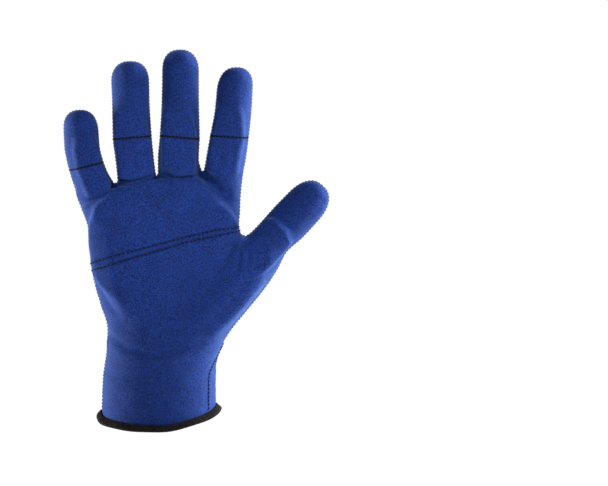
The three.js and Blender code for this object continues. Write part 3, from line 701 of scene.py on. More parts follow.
def hem_drop(x, y):
    """The sine of the angle round the wrist, to a power, times the drop, less the rise to the thumb's
    side, plus the wander: the sum of share times the sine of (waves times angle plus turn)."""
    angle = oval_angle(x, y, wrist_middle, wrist_half, wrist[FRONT], wrist[BACK])
    share = np.abs(np.sin(angle)) ** hem_drop_power
    to_right = np.clip((x - wrist[LEFT]) / (wrist[RIGHT] - wrist[LEFT]), 0, 1)
    wave = hem_wander * sum(part * np.sin(waves * angle + turn) for part, waves, turn in hem_waves)
    return share * np.where(y < 0, hem_drop_front, hem_drop_back) - hem_rise_right * to_right ** 3 + wave


def settle(p):
    """Bends places with the hand and lets the hem hang."""
    x, y, z = p[..., 0], p[..., 1], p[..., 2]
    s, e = thumb_place(x, z)
    finger_part = np.maximum(z - curl_start, 0) / curl_run
    thumb_share = 1 - ease((e - thumb_curl_side) / thumb_curl_fade)
    thumb_part = np.maximum(s - thumb_curl_start, 0) / thumb_curl_run * thumb_share
    low = np.clip(1 - z / hem_drop_height, 0, 1)
    y_bent = y - finger_curl * finger_part ** 2 * (1 - thumb_share) - thumb_curl * thumb_part ** 2
    return np.stack([x, y_bent, z - hem_drop(x, y) * low ** 2], -1)


print("hem at the front hangs by", round(float(hem_drop(0.0, -0.026)) / MM, 1), "mm")

# %% The bare skin of both cloths
seam_gap = 0.04 * MM        # space between the two cloths along their seam
finger_half_depth = 10.5 * MM
to_finger_from = palm_sections[-3, 0]    # from here the palm's half depth runs over to a finger's
to_finger_run = webs[0, 1] - to_finger_from + 8 * MM


def skin_of(x, z, edge, side):
    """Place, outward direction, drop of the round form and depth, for places of one cloth."""
    depth = np.where(edge, seam_gap / 2, np.maximum(surface_depth(x, z, side), seam_gap))
    to_finger = ease((z - to_finger_from) / to_finger_run)
    centre_depth = mix(read(palm_sections, z, FRONT), finger_half_depth, to_finger)
    tx, ty = turn_seam(x, side * depth, z)
    flat = edge & (z > seam_turn_top)
    out = outward(tx, np.where(flat, 0, ty), z)
    return np.stack([tx, ty, z], -1), out, np.maximum(centre_depth - depth, 0), depth


def offset(skin, height, side):
    """Places at a height over the skin, kept on their own side of the seam."""
    at, out = skin[:2]
    p = at + out * np.asarray(height)[..., None]
    above = at[..., 2] > seam_turn_top
    kept = np.minimum(p[..., 1], -seam_gap / 2) if side < 0 else np.maximum(p[..., 1], seam_gap / 2)
    p[..., 1] = np.where(above, kept, p[..., 1])
    return settle(p)


x_all, z_all = grid.places.T
front_skin = skin_of(x_all, z_all, grid.edge, -1)
back_skin = skin_of(x_all, z_all, grid.edge, 1)
print("palm cloth is", np.round(np.ptp(front_skin[0], axis=0) / MM, 1), "mm wide, deep and long")

# %% [markdown]
# ## Folds
# Worn cloth isn't smooth: it creases at the finger bases, where the thumb starts, and where the
# wrist narrows. Each fold is a short line on the hand with a height and a width, added to the
# cloth as a smooth bump, or as a crease where the height is below zero.

# %% Folds of both sides
# Columns of a fold: places it runs through in millimetres, height and width in millimetres.
front_folds = [
    ([(-25.5, 145.4), (-17.8, 144.4), (-11.7, 145.8), (-6.3, 148.2)], -2.9, 0.8),
    ([(3.9, 150.2), (8.6, 147.5), (13.4, 146.5), (20.1, 147.7)], -2.9, 0.8),
    ([(-50, 130), (-43, 132.5), (-34, 137), (-28.6, 141.9)], -2.0, 1.5),
    ([(29, 149), (34, 142), (41, 134)], -2.8, 4.2),
    ([(41, 134), (49, 137)], -0.7, 2.2),
    ([(40.3, 134.4), (44, 126), (47.8, 116.9)], 0.4, 2.0),
    ([(52, 112), (47, 104), (42, 94)], -0.9, 2.0),
    ([(55.5, 109), (51.5, 100), (48.5, 88)], -0.75, 1.3),
    ([(60, 110), (56.5, 102), (55, 92)], -0.6, 1.2),
    ([(62.2, 116.5), (67.8, 119.7), (74.7, 117.4), (80.6, 107.6)], 0.5, 1.0),
    ([(74.7, 118), (80, 113.5), (85.5, 109.4)], 0.45, 1.4),
    ([(-33, 50), (-20, 41), (-4, 38), (14, 41), (31, 46)], -0.7, 2.6),
    ([(-33, 44), (-16, 34), (2, 32), (20, 36)], 0.5, 3.2),
    ([(-32, 27), (-14, 22), (6, 24)], -0.4, 3.0),
]
back_folds = [
    ([(-53, 157), (-45, 158.5), (-36, 157)], -0.5, 1.6),
    ([(-26, 176), (-16, 177.5), (-7, 176)], -0.5, 1.7),
    ([(3, 180), (12, 181.5), (22, 180)], -0.5, 1.7),
    ([(34, 176), (43, 177.5), (53, 176)], -0.5, 1.7),
    ([(-41, 126), (-37, 118), (-34, 104)], -0.7, 4.2),
    ([(-14, 134), (-13, 122), (-12, 106)], -0.7, 4.2),
    ([(13, 137), (12, 124), (9, 106)], -0.7, 4.2),
    ([(52, 112), (44, 102), (38, 88)], -1.0, 3.2),
    ([(56, 107), (50, 96), (46, 84)], 0.6, 2.4),
    ([(64, 92), (70, 98), (78, 98)], -0.6, 1.6),
    ([(-34, 52), (-12, 46), (10, 45), (32, 50)], -0.8, 2.8),
    ([(-34, 42), (-8, 38), (16, 40), (33, 44)], 0.5, 3.0),
    ([(-33, 24), (-8, 27), (16, 22)], -0.5, 3.0),
]


def fold_height(folds, x, z):
    """The sum over the folds of height times the bell exp(-(distance over width) squared)."""
    total = np.zeros(np.shape(x))
    for places, height, width in folds:
        points = MM * np.array(places, float)
        nearest = np.min([line_distance(a, b, x, z) for a, b in zip(points, points[1:])], axis=0)
        total += height * MM * np.exp(-(nearest / (width * MM)) ** 2)
    return total


print("folds:", len(front_folds), "on the palm's side,", len(back_folds), "on the back")

# %% Height of each cloth over the bare form
uneven_height = 0.09 * MM
uneven_cross = 23 * MM      # length of the waves that run across
uneven_waves = [(19, 0.3, 0.9), (11, 2.1, -0.5), (7, 1.2, 0.35)]    # columns: length in mm, turn, lean
seam_valley = 0.3 * MM
seam_valley_width = 1.3 * MM
hem_flat = 6 * MM           # folds and the valley of the seam fade in over this height above the hem
fold_fade = 3 * MM          # folds fade in over this depth from the seam
lift_fade = 2 * MM          # and the lift over the pads fades in over this depth
# The two rows of stitches across the palm, which press the cloth in a little.
palm_line_places = [
    [(-42.5, 92.5), (-32.2, 96.9), (15.9, 110), (47.5, 116.9)],
    [(-41.6, 88.4), (-24.7, 94.4), (15.9, 106.6), (49.5, 113.9)],
]
palm_row_press, palm_row_width = 0.5, 0.9    # in millimetres


def unevenness(x, y, z):
    """A faint unevenness: the sum of three waves that cross, each with its own length and turn."""
    total = 0
    for length, turn, lean in uneven_waves:
        way = x * math.cos(turn) + z * math.sin(turn) + y * lean
        cross = x * math.sin(turn) - z * math.cos(turn)
        total = total + (np.sin(2 * np.pi * way / (length * MM) + turn)
                         * np.cos(2 * np.pi * cross / uneven_cross + lean))
    return uneven_height * total


def cloth_height(x, z, skin, side):
    """Folds and unevenness, on the palm's side also pads and rows of stitches, and the valley of the
    seam: the bell exp(-(depth over width) squared)."""
    at, out, drop, depth = skin
    folds = front_folds if side < 0 else back_folds
    off_hem = ease(z / hem_flat)
    height = (fold_height(folds, x, z) + unevenness(x, at[..., 1], z)) * (ease(depth / fold_fade) * off_hem)
    if side < 0:
        rows = fold_height([(line, -palm_row_press, palm_row_width) for line in palm_line_places], x, z)
        height = height + (pad_lift(x, z, drop, np.abs(out[..., 1])) + rows) * ease(depth / lift_fade)
    valley = -seam_valley * np.exp(-(depth / seam_valley_width) ** 2)
    return height + valley * off_hem


front_height = cloth_height(x_all, z_all, front_skin, -1)
back_height = cloth_height(x_all, z_all, back_skin, 1)
front_points = offset(front_skin, front_height, -1)
back_points = offset(back_skin, back_height, 1)
print("cloth rises up to", round(front_height.max() / MM, 2), "mm over the form")

# %% [markdown]
# ## From points to a mesh
# A cloth has two faces and a rim. The outer face is the grid of points, the inner face the same
# grid one wall further in with its faces turned round, and the rim joins the two where the cloth
# ends. The same few lines make the cloths and the pads, so they are a helper.

# %% Mesh helpers
rim_angle = 50              # edges that turn by more degrees than this are sharp


def put(name, data):
    """An object for a mesh, a lamp or a camera, in the scene."""
    made = bpy.data.objects.new(name, data)
    bpy.context.collection.objects.link(made)
    return made


def new_piece(name, points, faces, coordinates, sharp=None):
    """A mesh from arrays: faces with a repeated corner become triangles."""
    mesh = bpy.data.meshes.new(name)
    mesh.vertices.add(len(points))
    mesh.vertices.foreach_set("co", np.ascontiguousarray(points, np.float32).ravel())
    keep = faces != np.roll(faces, -1, axis=1)
    loops = faces[keep]
    sizes = keep.sum(axis=1)
    starts = np.concatenate([[0], np.cumsum(sizes)[:-1]])
    mesh.loops.add(len(loops))
    mesh.loops.foreach_set("vertex_index", loops.astype(np.int32))
    mesh.polygons.add(len(faces))
    mesh.polygons.foreach_set("loop_start", starts.astype(np.int32))
    mesh.polygons.foreach_set("use_smooth", np.ones(len(faces), bool))
    layer = mesh.uv_layers.new(name="cloth")
    layer.uv.foreach_set("vector", np.ascontiguousarray(coordinates[loops], np.float32).ravel())
    mesh.update(calc_edges=True)
    mesh.validate()
    if sharp is not None:
        mesh.set_sharp_from_angle(angle=math.radians(sharp))
    piece = put(name, mesh)
    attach(piece, "root")
    return piece


def quads_of(ids):
    """The faces between neighbouring rows, corners counter-clockwise as the palm shows them."""
    corners = [ids[:-1, :-1], ids[:-1, 1:], ids[1:, 1:], ids[1:, :-1]]
    return np.stack(corners, -1).reshape(-1, 4)


def thick_patch(name, quads, outer, inner, coordinates, turned=False):
    """Outer faces, inner faces turned round, and a rim along the border edges."""
    used, faces = np.unique(quads, return_inverse=True)
    faces = faces.reshape(quads.shape)
    if turned:
        faces = faces[:, ::-1]
    n = len(used)
    a, b = faces.ravel(), np.roll(faces, -1, axis=1).ravel()
    real = a != b
    a, b = a[real], b[real]
    border = ~np.isin(a * n + b, b * n + a)
    a, b = a[border], b[border]
    rim = np.stack([b, a, a + n, b + n], -1)
    points = np.concatenate([outer[used], inner[used]])
    flat = np.concatenate([coordinates[used]] * 2)
    return new_piece(name, points, np.concatenate([faces, faces[:, ::-1] + n, rim]), flat, sharp=rim_angle)


all_quads = np.concatenate([quads_of(ids) for ids in grid.blocks().values()])
print("faces of one side of a cloth:", len(all_quads))

# %% [markdown]
# ## Where the knit lies
# Knit runs along the cloth, not along the axes. Each point gets its place on the flat cloth: its
# x and z as seen from the palm, moved outwards along its row by as much as the row is longer in
# space than it looks. So the stitches keep their size where the cloth turns round a finger.

# %% Flat cloth coordinates
match_share = 0.6           # a finger's rows match the palm's at its foot, and less and less up to here
stretch = 1.05              # worn jersey is stretched by about this much, so it was cut smaller


def flat_cloth(points):
    flat = np.stack([x_all, z_all], 1)
    extra = np.zeros_like(flat)

    def row_extra(ids):
        longer = (np.linalg.norm(np.diff(points[ids], axis=1), axis=2)
                  - np.linalg.norm(np.diff(flat[ids], axis=1), axis=2))
        run = np.cumsum(np.maximum(longer, 0), axis=1)
        run = np.concatenate([np.zeros((len(ids), 1)), run], axis=1)
        run -= run[:, run.shape[1] // 2][:, None]
        way = flat[ids[:, -1]] - flat[ids[:, 0]]
        if np.allclose(way[-1], 0):     # the last row is the one place of a tip
            way[-1] = way[-2]
        way /= np.linalg.norm(way, axis=1, keepdims=True)
        return run[..., None] * way[:, None]

    extra[grid.palm] = row_extra(grid.palm)
    for ids in (*grid.fingers, grid.thumb):
        own = row_extra(ids)
        fade = ease(1 - np.arange(len(ids)) / (match_share * len(ids)))[:, None, None]
        blended = own + (extra[ids[0]] - own[0]) * fade
        extra[ids[1:]] = blended[1:]
    return flat + extra


def cut_area(points):
    """Half the length of the cross product of each face's diagonals, added up, over the stretch."""
    p = points[all_quads]
    return np.linalg.norm(np.cross(p[:, 2] - p[:, 0], p[:, 3] - p[:, 1]), axis=1).sum() / 2 / stretch


front_flat = flat_cloth(front_points)
back_flat = flat_cloth(back_points)
print("cut areas:", *(round(cut_area(points) * 1e4) for points in (front_points, back_points)), "cm2")

# %% [markdown]
# ## The two cloths
# They are sewn along the sides of the fingers. Each is made as its own closed thin mesh.

# %% Palm cloth and back cloth
wall = 1.2 * MM             # thickness of the knitted cloth

palm_cloth = thick_patch("palm_cloth", all_quads, front_points,
                         offset(front_skin, front_height - wall, -1), front_flat)
back_cloth = thick_patch("back_cloth", all_quads, back_points,
                         offset(back_skin, back_height - wall, 1), back_flat, turned=True)
for cloth, points, node in ((palm_cloth, front_points, "palm_panel"),
                            (back_cloth, back_points, "back_panel")):
    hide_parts(node)
    print(cloth.name, len(cloth.data.polygons), "faces")

# %% [markdown]
# ## The foam pads
# Each pad fills the pocket that it presses into the palm cloth. It's the same grid again, taken
# where the pad's outline is, from just under the cloth down to the hand.

# %% Pads in their pockets
pad_clear = 0.3 * MM        # space between a pad and the cloth over it
pad_least = 0.4 * MM        # no pad is thinner than this
pad_top = front_height - wall - pad_clear
pad_low = np.minimum(0 * pad_top - wall, pad_top - pad_least)
pad_pieces = []
for pad_name, outline in pads.items():
    quads = quads_of(grid.blocks()[pad_name.split("_")[0]])
    allowed = (inside_outline(outline, x_all, z_all) > 0) & ~grid.edge
    if pad_name == "thumb_pad":
        allowed[grid.thumb[0]] = False      # the thumb's first row belongs to the palm
    quads = quads[allowed[quads].all(axis=1)]
    pad = thick_patch(pad_name + "_foam", quads, offset(front_skin, pad_top, -1),
                      offset(front_skin, pad_low, -1), front_flat)
    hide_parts(pad_name)
    pad_pieces.append(pad)
print("pads:", len(pad_pieces))

# %% [markdown]
# ## Sewing
# A stitch is a short arch of thread that dives into the cloth at both ends. It could be a curve
# with a bevel, but hundreds of curves are slow. So one function lays all the stitches of a line
# as rings of points: rings along each arch, and six places round each ring.

# %% Paths
def path_length(path):
    return np.linalg.norm(np.diff(path, axis=0), axis=1).sum()


def along_path(path, at, carried=None):
    """Places on a path at given distances from its start, or the values that it carries there."""
    values = path if carried is None else carried
    run = np.concatenate([[0], np.cumsum(np.linalg.norm(np.diff(path, axis=0), axis=1))])
    return np.stack([np.interp(at, run, values[:, k]) for k in range(values.shape[1])], -1)


def unit(v):
    return v / np.maximum(np.linalg.norm(v, axis=-1, keepdims=True), 1e-9)


def on_palm(places, rise, samples=160):
    """A path on the palm cloth through places of the flat hand, and the cloth's outward direction."""
    points = MM * np.array(places, float)
    x, z = along_path(points, np.linspace(0, path_length(points), samples)).T
    skin = skin_of(x, z, np.zeros(len(x), bool), -1)
    return offset(skin, cloth_height(x, z, skin, -1) + rise, -1), skin[1]


print("seam round the hand:", round(path_length(grid.places[grid.outline()]), 3), "m")

# %% Stitches along a path
ring_shares = np.linspace(0, 1, 7)
round_steps = 6
sunk_share = 0.35           # share of the arch's height that lies below the path
end_taper, taper_power = 0.9, 4    # how much a stitch thins out at its ends, and how suddenly
look = 0.1 * MM             # the thread's direction is measured over this much to both sides


def stitches(paths, pitch, share, lift, slant, thick):
    """Rings of points: place on the path, plus the arch lift times the sine of the half turn, plus a
    ring of radius thick / 2 that closes at both ends. Returns points, faces and flat coordinates."""
    all_points, all_faces, all_flat, count = [], [], [], 0
    arch = np.sin(np.pi * ring_shares)[:, None] * lift - sunk_share * lift
    lean = (ring_shares - 0.5)[:, None]
    radius = (thick / 2 * np.sqrt(1 - np.abs(2 * ring_shares - 1) ** taper_power * end_taper))[:, None, None]
    angle = 2 * np.pi * np.arange(round_steps) / round_steps
    for path, normals in paths:
        total = max(1, round(path_length(path) / pitch))
        step = path_length(path) / total
        at = ((np.arange(total) + (1 - share) / 2) * step)[:, None] + ring_shares * step * share
        up = unit(along_path(path, at, normals))
        side = unit(np.cross(unit(along_path(path, at + look) - along_path(path, at - look)), up))
        centre = along_path(path, at) + up * arch + side * slant * lean
        ring = np.cos(angle)[:, None] * up[:, :, None] + np.sin(angle)[:, None] * side[:, :, None]
        ids = count + np.arange(at.size * round_steps).reshape(*at.shape, round_steps)
        around = np.roll(ids, -1, axis=2)
        tube = np.stack([ids[:, :-1], around[:, :-1], around[:, 1:], ids[:, 1:]], -1)
        first, last = ids[:, 0], ids[:, -1]
        caps = [first[:, [0, 3, 2, 1]], first[:, [0, 5, 4, 3]], last[:, [0, 1, 2, 3]], last[:, [0, 3, 4, 5]]]
        flat = np.stack(np.broadcast_arrays(at[:, :, None], angle / (2 * np.pi)), -1)
        all_points.append((centre[:, :, None] + ring * radius).reshape(-1, 3))
        all_faces += [tube.reshape(-1, 4), *caps]
        all_flat.append(flat.reshape(-1, 2))
        count += ids.size
    return np.concatenate(all_points), np.concatenate(all_faces), np.concatenate(all_flat)


def stitch_piece(name, paths, **how):
    points, faces, flat = stitches(paths, **how)
    piece = new_piece(name, points, faces[:, ::-1], flat)
    print(name, len(faces), "faces")
    return piece


print("places of one stitch:", len(ring_shares) * round_steps)

# %% [markdown]
# Lines of dark stitches run across each finger and twice across the palm. On the fingers they
# nearly touch, so they look like one line. On the palm short gaps part them. They are real thread
# and no painted line, because they press into the cloth and stand up from it.

# %% Lines of stitches across the fingers and the palm
line_end = 0.96             # share of half the finger's width at which a line ends
finger_lines = []
for finger in fingers:
    left_z, right_z = finger["stitch"]
    line = [across(finger, left_z, -line_end), across(finger, (left_z + right_z) / 2, 0),
            across(finger, right_z, line_end)]
    finger_lines.append(on_palm(np.array(line) / MM, rise=0.2 * MM))
palm_lines = [on_palm(line, rise=0.35 * MM) for line in palm_line_places]
finger_stitches = stitch_piece("finger_stitches", finger_lines, pitch=2.4 * MM, share=0.88, lift=0.35 * MM,
                               slant=0.2 * MM, thick=1.3 * MM)
palm_stitches = stitch_piece("palm_stitches", palm_lines, pitch=2.7 * MM, share=0.7, lift=0.45 * MM,
                             slant=0.4 * MM, thick=0.95 * MM)

# %% [markdown]
# The seam that joins the two cloths shows as fine thread between them. At the wrist it comes round
# on to the palm's face, where its stitches are coarser. Both follow the grid's own outline, so the
# thread lies exactly where the cloths meet.

# %% Thread in the side seam
seam_sunk = 0.12 * MM       # how deep the thread nestles between the cloths
seam_forward = 0.8 * MM     # and how far it lies towards the palm
seam_start = 1.5 * MM       # it starts this high above the hem

seam_ids = grid.outline()
seam_at = (front_skin[0][seam_ids] + back_skin[0][seam_ids]) / 2
seam_out = unit(front_skin[1][seam_ids] + back_skin[1][seam_ids])
seam_path = settle(seam_at - seam_out * seam_sunk - [0, seam_forward, 0])
on_wrist = (seam_at[:, 2] < seam_turn_top) & (seam_at[:, 0] > 0)
free = seam_at[:, 2] > seam_start
side_part, wrist_part = free & ~on_wrist, free & on_wrist
seam_stitches = stitch_piece("seam_stitches", [(seam_path[side_part], seam_out[side_part])], pitch=2.2 * MM,
                             share=0.7, lift=0.1 * MM, slant=0.4 * MM, thick=0.42 * MM)
wrist_stitches = stitch_piece("wrist_stitches", [(settle(seam_at)[wrist_part], seam_out[wrist_part])],
                              pitch=2.4 * MM, share=0.8, lift=0.3 * MM, slant=0.4 * MM, thick=0.8 * MM)

# %% [markdown]
# ## The overlocked edge
# The wrist ends in a rolled edge that an overlock machine has wrapped with thread. It's a closed
# profile carried round the hem, and the wraps are a slanted wave on its height.

# %% Profile round the hem
wraps = 300
steps_a_wrap = 7
wrap_rise = 0.4 * MM
wrap_slant = 0.9
edge_height = 4.0 * MM
edge_flare_right = 1.4 * MM   # how much further the edge stands out at the thumb's side
edge_flare_left = 1.0 * MM    # and at the little finger's side
edge_thin_right = 0.25        # share by which it's lower at the thumb's side
# Columns: out from the hem's face, up from the hem, in millimetres.
edge_profile = MM * np.array([
    [0.3, 0.8], [0.95, 0.2], [1.9, -1.1], [2.5, -2.5], [2.2, -3.3], [1.4, -3.5], [0.3, -3.0],
    [-1.2, -1.7], [-1.9, -0.4], [-1.75, 0.7], [-1.45, 0.8], [-1.4, -0.3], [0.15, -0.35], [0.2, 0.7]])
wrapped_places = 10           # the wraps show on this many places of the profile
profile_steps = 22
profile_look = 0.02           # the profile's direction is measured over this share to both sides
above_hem = 1 * MM            # the outward direction is measured this far above the hem


def wrist_oval(angle):
    """Places spread evenly round the wrist, and the outward direction there."""
    rounded = lambda v: np.sign(v) * np.abs(v) ** (2 / palm_power)
    deep = np.where(np.sin(angle) > 0, wrist[FRONT], wrist[BACK])
    ring = np.stack([wrist_middle + wrist_half * rounded(np.cos(angle)), -deep * rounded(np.sin(angle))], 1)
    ring = np.vstack([ring, ring[:1]])
    x, y = along_path(ring, path_length(ring) * angle / (2 * np.pi)).T
    return x, y, outward(x, y, 0 * x + above_hem)


def profile_places(share):
    """Places spread evenly round the profile, and the direction away from its middle."""
    closed = np.vstack([edge_profile, edge_profile[:1]])
    length = path_length(closed)
    profile = along_path(closed, share * length)
    way = unit(along_path(closed, np.minimum(share + profile_look, 1) * length)
               - along_path(closed, np.maximum(share - profile_look, 0) * length))
    normal = np.stack([-way[:, 1], way[:, 0]], 1)
    normal *= np.where((normal * (profile - profile.mean(0))).sum(1) > 0, 1, -1)[:, None]
    return profile, normal, length


def edge_ring():
    """Place on the wrist's oval, plus the profile along the outward direction and down, plus the wraps:
    rise times the root of the sine of the wrapped angle."""
    angle = 2 * np.pi * np.arange(wraps * steps_a_wrap) / (wraps * steps_a_wrap)
    x, y, out = wrist_oval(angle)
    share = np.arange(profile_steps) / profile_steps
    profile, normal, length = profile_places(share)
    wave = np.abs(np.sin(np.pi * (wraps * angle[:, None] / (2 * np.pi) + wrap_slant * share)))
    bulge = wrap_rise * np.sqrt(wave) * (share * len(edge_profile) < wrapped_places)
    to_right = ((x - wrist[LEFT]) / (wrist[RIGHT] - wrist[LEFT]))[:, None]
    flare = edge_flare_right * to_right ** 2 + edge_flare_left * (1 - to_right) ** 2
    r = profile[:, 0] + normal[:, 0] * bulge + flare * np.clip(-profile[:, 1] / edge_height, 0, 1)
    thinner = 1 - edge_thin_right * to_right * (profile[:, 1] < 0)
    z = profile[:, 1] * thinner + normal[:, 1] * bulge - hem_drop(x, y)[:, None]
    points = np.stack([x[:, None] + out[:, 0, None] * r, y[:, None] + out[:, 1, None] * r, z], -1)
    flat = np.stack(np.broadcast_arrays(angle[:, None] * wrist_half, share * length), -1)
    return points, flat


edge_points, edge_flat = edge_ring()
ids = np.arange(edge_points[..., 0].size).reshape(edge_points.shape[:2])
next_ids = np.roll(ids, -1, axis=0)
edge_faces = np.stack([ids, next_ids, np.roll(next_ids, -1, axis=1), np.roll(ids, -1, axis=1)], -1)
cuff_edge = new_piece("cuff_edge", edge_points.reshape(-1, 3), edge_faces.reshape(-1, 4),
                      edge_flat.reshape(-1, 2))
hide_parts("cuff_binding")
print("cuff edge:", edge_faces[..., 0].size, "faces")

# %% [markdown]
# ## Finishes
# A material is built from nodes. Three effects are made from nodes of their own, so each is a node
# group: an uneven grain, the twist of thread, and knitted loops.

# %% Node helpers
def feed(tree, value, socket):
    """Sets a socket to a number, or links another node's output to it."""
    if isinstance(value, (int, float)):
        socket.default_value = value
    else:
        tree.links.new(value, socket)


def new_group(name, inputs, outputs):
    """A shader node group with named inputs, given as label and value, and named outputs."""
    tree = bpy.data.node_groups.new(name, "ShaderNodeTree")
    tree.interface.new_socket(name="Vector", in_out="INPUT", socket_type="NodeSocketVector")
    for label, value in inputs:
        socket = tree.interface.new_socket(name=label, in_out="INPUT", socket_type="NodeSocketFloat")
        socket.default_value = value
    for label in outputs:
        tree.interface.new_socket(name=label, in_out="OUTPUT", socket_type="NodeSocketFloat")
    print("group:", name)
    return tree, tree.nodes.new("NodeGroupInput").outputs, tree.nodes.new("NodeGroupOutput").inputs


def maths(tree, operation, *values):
    """A Math node whose values are numbers or other nodes' outputs."""
    node = tree.nodes.new("ShaderNodeMath")
    node.operation = operation
    for socket, value in zip(node.inputs, values):
        feed(tree, value, socket)
    return node.outputs[0]


def noise(tree, vector, scale, detail, roughness):
    node = tree.nodes.new("ShaderNodeTexNoise")
    for label, value in (("Vector", vector), ("Scale", scale), ("Detail", detail), ("Roughness", roughness)):
        feed(tree, value, node.inputs[label])
    return node.outputs["Fac"]


def split(tree, vector):
    node = tree.nodes.new("ShaderNodeSeparateXYZ")
    tree.links.new(vector, node.inputs[0])
    return node.outputs


# %% [markdown]
# Cloth is never one even colour: each yarn lies a little otherwise. Painting that would need a
# picture, so the grain is noise: fine noise for the yarns, and broad noise for worn patches.

# %% The grain group
least_shade = 0.15          # no spot of the grain is darker than this share of the colour
broad_scale = 90
noise_detail, fine_roughness, broad_roughness = 3, 0.65, 0.5
grain_tree, given, made = new_group(
    "uneven grain", [("Fine", 1.0), ("Broad", 1.0), ("Size", 1000.0)], ["Shade", "Height"])
fine = noise(grain_tree, given["Vector"], given["Size"], noise_detail, fine_roughness)
broad = noise(grain_tree, given["Vector"], broad_scale, noise_detail, broad_roughness)
fine_part, broad_part = (
    maths(grain_tree, "MULTIPLY", maths(grain_tree, "SUBTRACT", part, 0.5), given[label])
    for part, label in ((fine, "Fine"), (broad, "Broad")))
both_parts = maths(grain_tree, "ADD", 1.0, maths(grain_tree, "ADD", fine_part, broad_part))
feed(grain_tree, maths(grain_tree, "MAXIMUM", least_shade, both_parts), made["Shade"])
feed(grain_tree, fine, made["Height"])

# %% [markdown]
# Thread is twisted from plies, which show as slanted ridges. A slanted wave of the flat
# coordinates gives them: once along the thread for each pitch, and shifted once round it.

# %% The thread twist group
twist_tree, given, made = new_group("twisted thread", [("Pitch", 0.0006)], ["Height"])
along, around, _ = split(twist_tree, given["Vector"])
slanted = maths(twist_tree, "ADD", maths(twist_tree, "DIVIDE", along, given["Pitch"]), around)
ply = maths(twist_tree, "SINE", maths(twist_tree, "MULTIPLY", slanted, math.pi))
feed(twist_tree, maths(twist_tree, "ABSOLUTE", ply), made["Height"])

# %% [markdown]
# The jersey is knitted: columns of small V shapes. Each V is worked out from the flat cloth's
# coordinates: how far a point is from the middle of its column tilts the rows of loops.

# %% The knit group
gap_power = 5.0             # how narrow the gap between two columns is
knit_tree, given, made = new_group(
    "knitted loops", [("Column", 0.00085), ("Row", 0.00065)], ["Height", "Gap"])
sideways, upwards, _ = split(knit_tree, given["Vector"])
in_column = maths(knit_tree, "FRACT", maths(knit_tree, "DIVIDE", sideways, given["Column"]))
off_middle = maths(knit_tree, "ABSOLUTE", maths(knit_tree, "SUBTRACT", in_column, 0.5))
from_middle = maths(knit_tree, "MULTIPLY", off_middle, 2.0)
tilted = maths(knit_tree, "SUBTRACT", maths(knit_tree, "DIVIDE", upwards, given["Row"]), from_middle)
leg = maths(knit_tree, "ABSOLUTE", maths(knit_tree, "SINE", maths(knit_tree, "MULTIPLY", tilted, math.pi)))
column_fade = maths(knit_tree, "SUBTRACT", 1.0, maths(knit_tree, "POWER", from_middle, gap_power))
loop_height = maths(knit_tree, "MULTIPLY", leg, column_fade)
feed(knit_tree, loop_height, made["Height"])
# Gap is one less the loops' height: the jersey uses it to paint shade into the gaps between loops.
feed(knit_tree, maths(knit_tree, "SUBTRACT", 1.0, loop_height), made["Gap"])


# %% Material helpers
def new_material(name, **sockets):
    material = bpy.data.materials.new(name)
    material.use_nodes = True
    tree = material.node_tree
    shader = next(n for n in tree.nodes if n.type == "BSDF_PRINCIPLED")
    for label, value in sockets.items():
        shader.inputs[label.replace("_", " ")].default_value = value
    print("finish:", name)
    return material, tree, shader.inputs


def cloth_places(tree):
    node = tree.nodes.new("ShaderNodeUVMap")
    node.uv_map = "cloth"
    return node.outputs["UV"]


def object_places(tree):
    return tree.nodes.new("ShaderNodeTexCoord").outputs["Object"]


def place_group(tree, group, vector, **values):
    node = tree.nodes.new("ShaderNodeGroup")
    node.node_tree = group
    for label, value in (("Vector", vector), *values.items()):
        feed(tree, value, node.inputs[label])
    return node.outputs


def bump(tree, height, far, strength, before=None):
    node = tree.nodes.new("ShaderNodeBump")
    for label, value in (("Distance", far), ("Strength", strength), ("Height", height), ("Normal", before)):
        if value is not None:
            feed(tree, value, node.inputs[label])
    return node.outputs["Normal"]


def shaded(tree, colour, shade):
    """A colour times a shade that varies over the surface."""
    node = tree.nodes.new("ShaderNodeMix")
    node.data_type = "RGBA"
    node.blend_type = "MULTIPLY"
    node.inputs["Factor"].default_value = 1.0
    node.inputs["A"].default_value = (*colour, 1)
    both = tree.nodes.new("ShaderNodeCombineColor")
    for socket in both.inputs:
        tree.links.new(shade, socket)
    tree.links.new(both.outputs[0], node.inputs["B"])
    return node.outputs["Result"]


# %% [markdown]
# The jersey is deep blue with a bluish fuzz that brightens where it turns away. Velvet would need
# hairs; the shader's sheen gives the same rim at no cost. The gaps between loops are painted darker, as
# painted shade.

# %% The blue jersey
jersey_blue = (0.0079, 0.0367, 0.233)
# Painted shade of the knit: the colour's share on the loops, and how much darker the gaps are painted.
painted_loop_shade, painted_gap_darkening = 1.1, 0.35
loop_depth, loop_strength = 0.00018, 0.4
grain_depth, grain_strength = 0.0003, 0.3
jersey, tree, sockets = new_material(
    "blue_jersey", Roughness=0.85, Sheen_Weight=0.35, Sheen_Roughness=0.45, Sheen_Tint=(0.3, 0.55, 1.0, 1),
    Specular_IOR_Level=0.25)
knit = place_group(tree, knit_tree, cloth_places(tree))
grain = place_group(tree, grain_tree, object_places(tree), Fine=5.0, Broad=0.4, Size=1400.0)
# Painted shade: the colour is darker in the gaps between loops and a little lighter on the loops.
painted_gap_shade = maths(tree, "SUBTRACT", painted_loop_shade, maths(tree, "MULTIPLY", knit["Gap"], painted_gap_darkening))
shade = maths(tree, "MULTIPLY", painted_gap_shade, grain["Shade"])
feed(tree, shaded(tree, jersey_blue, shade), sockets["Base Color"])
loops_bumped = bump(tree, knit["Height"], loop_depth, loop_strength)
feed(tree, bump(tree, grain["Height"], grain_depth, grain_strength, loops_bumped), sockets["Normal"])
for cloth in (palm_cloth, back_cloth):
    cloth.data.materials.append(jersey)
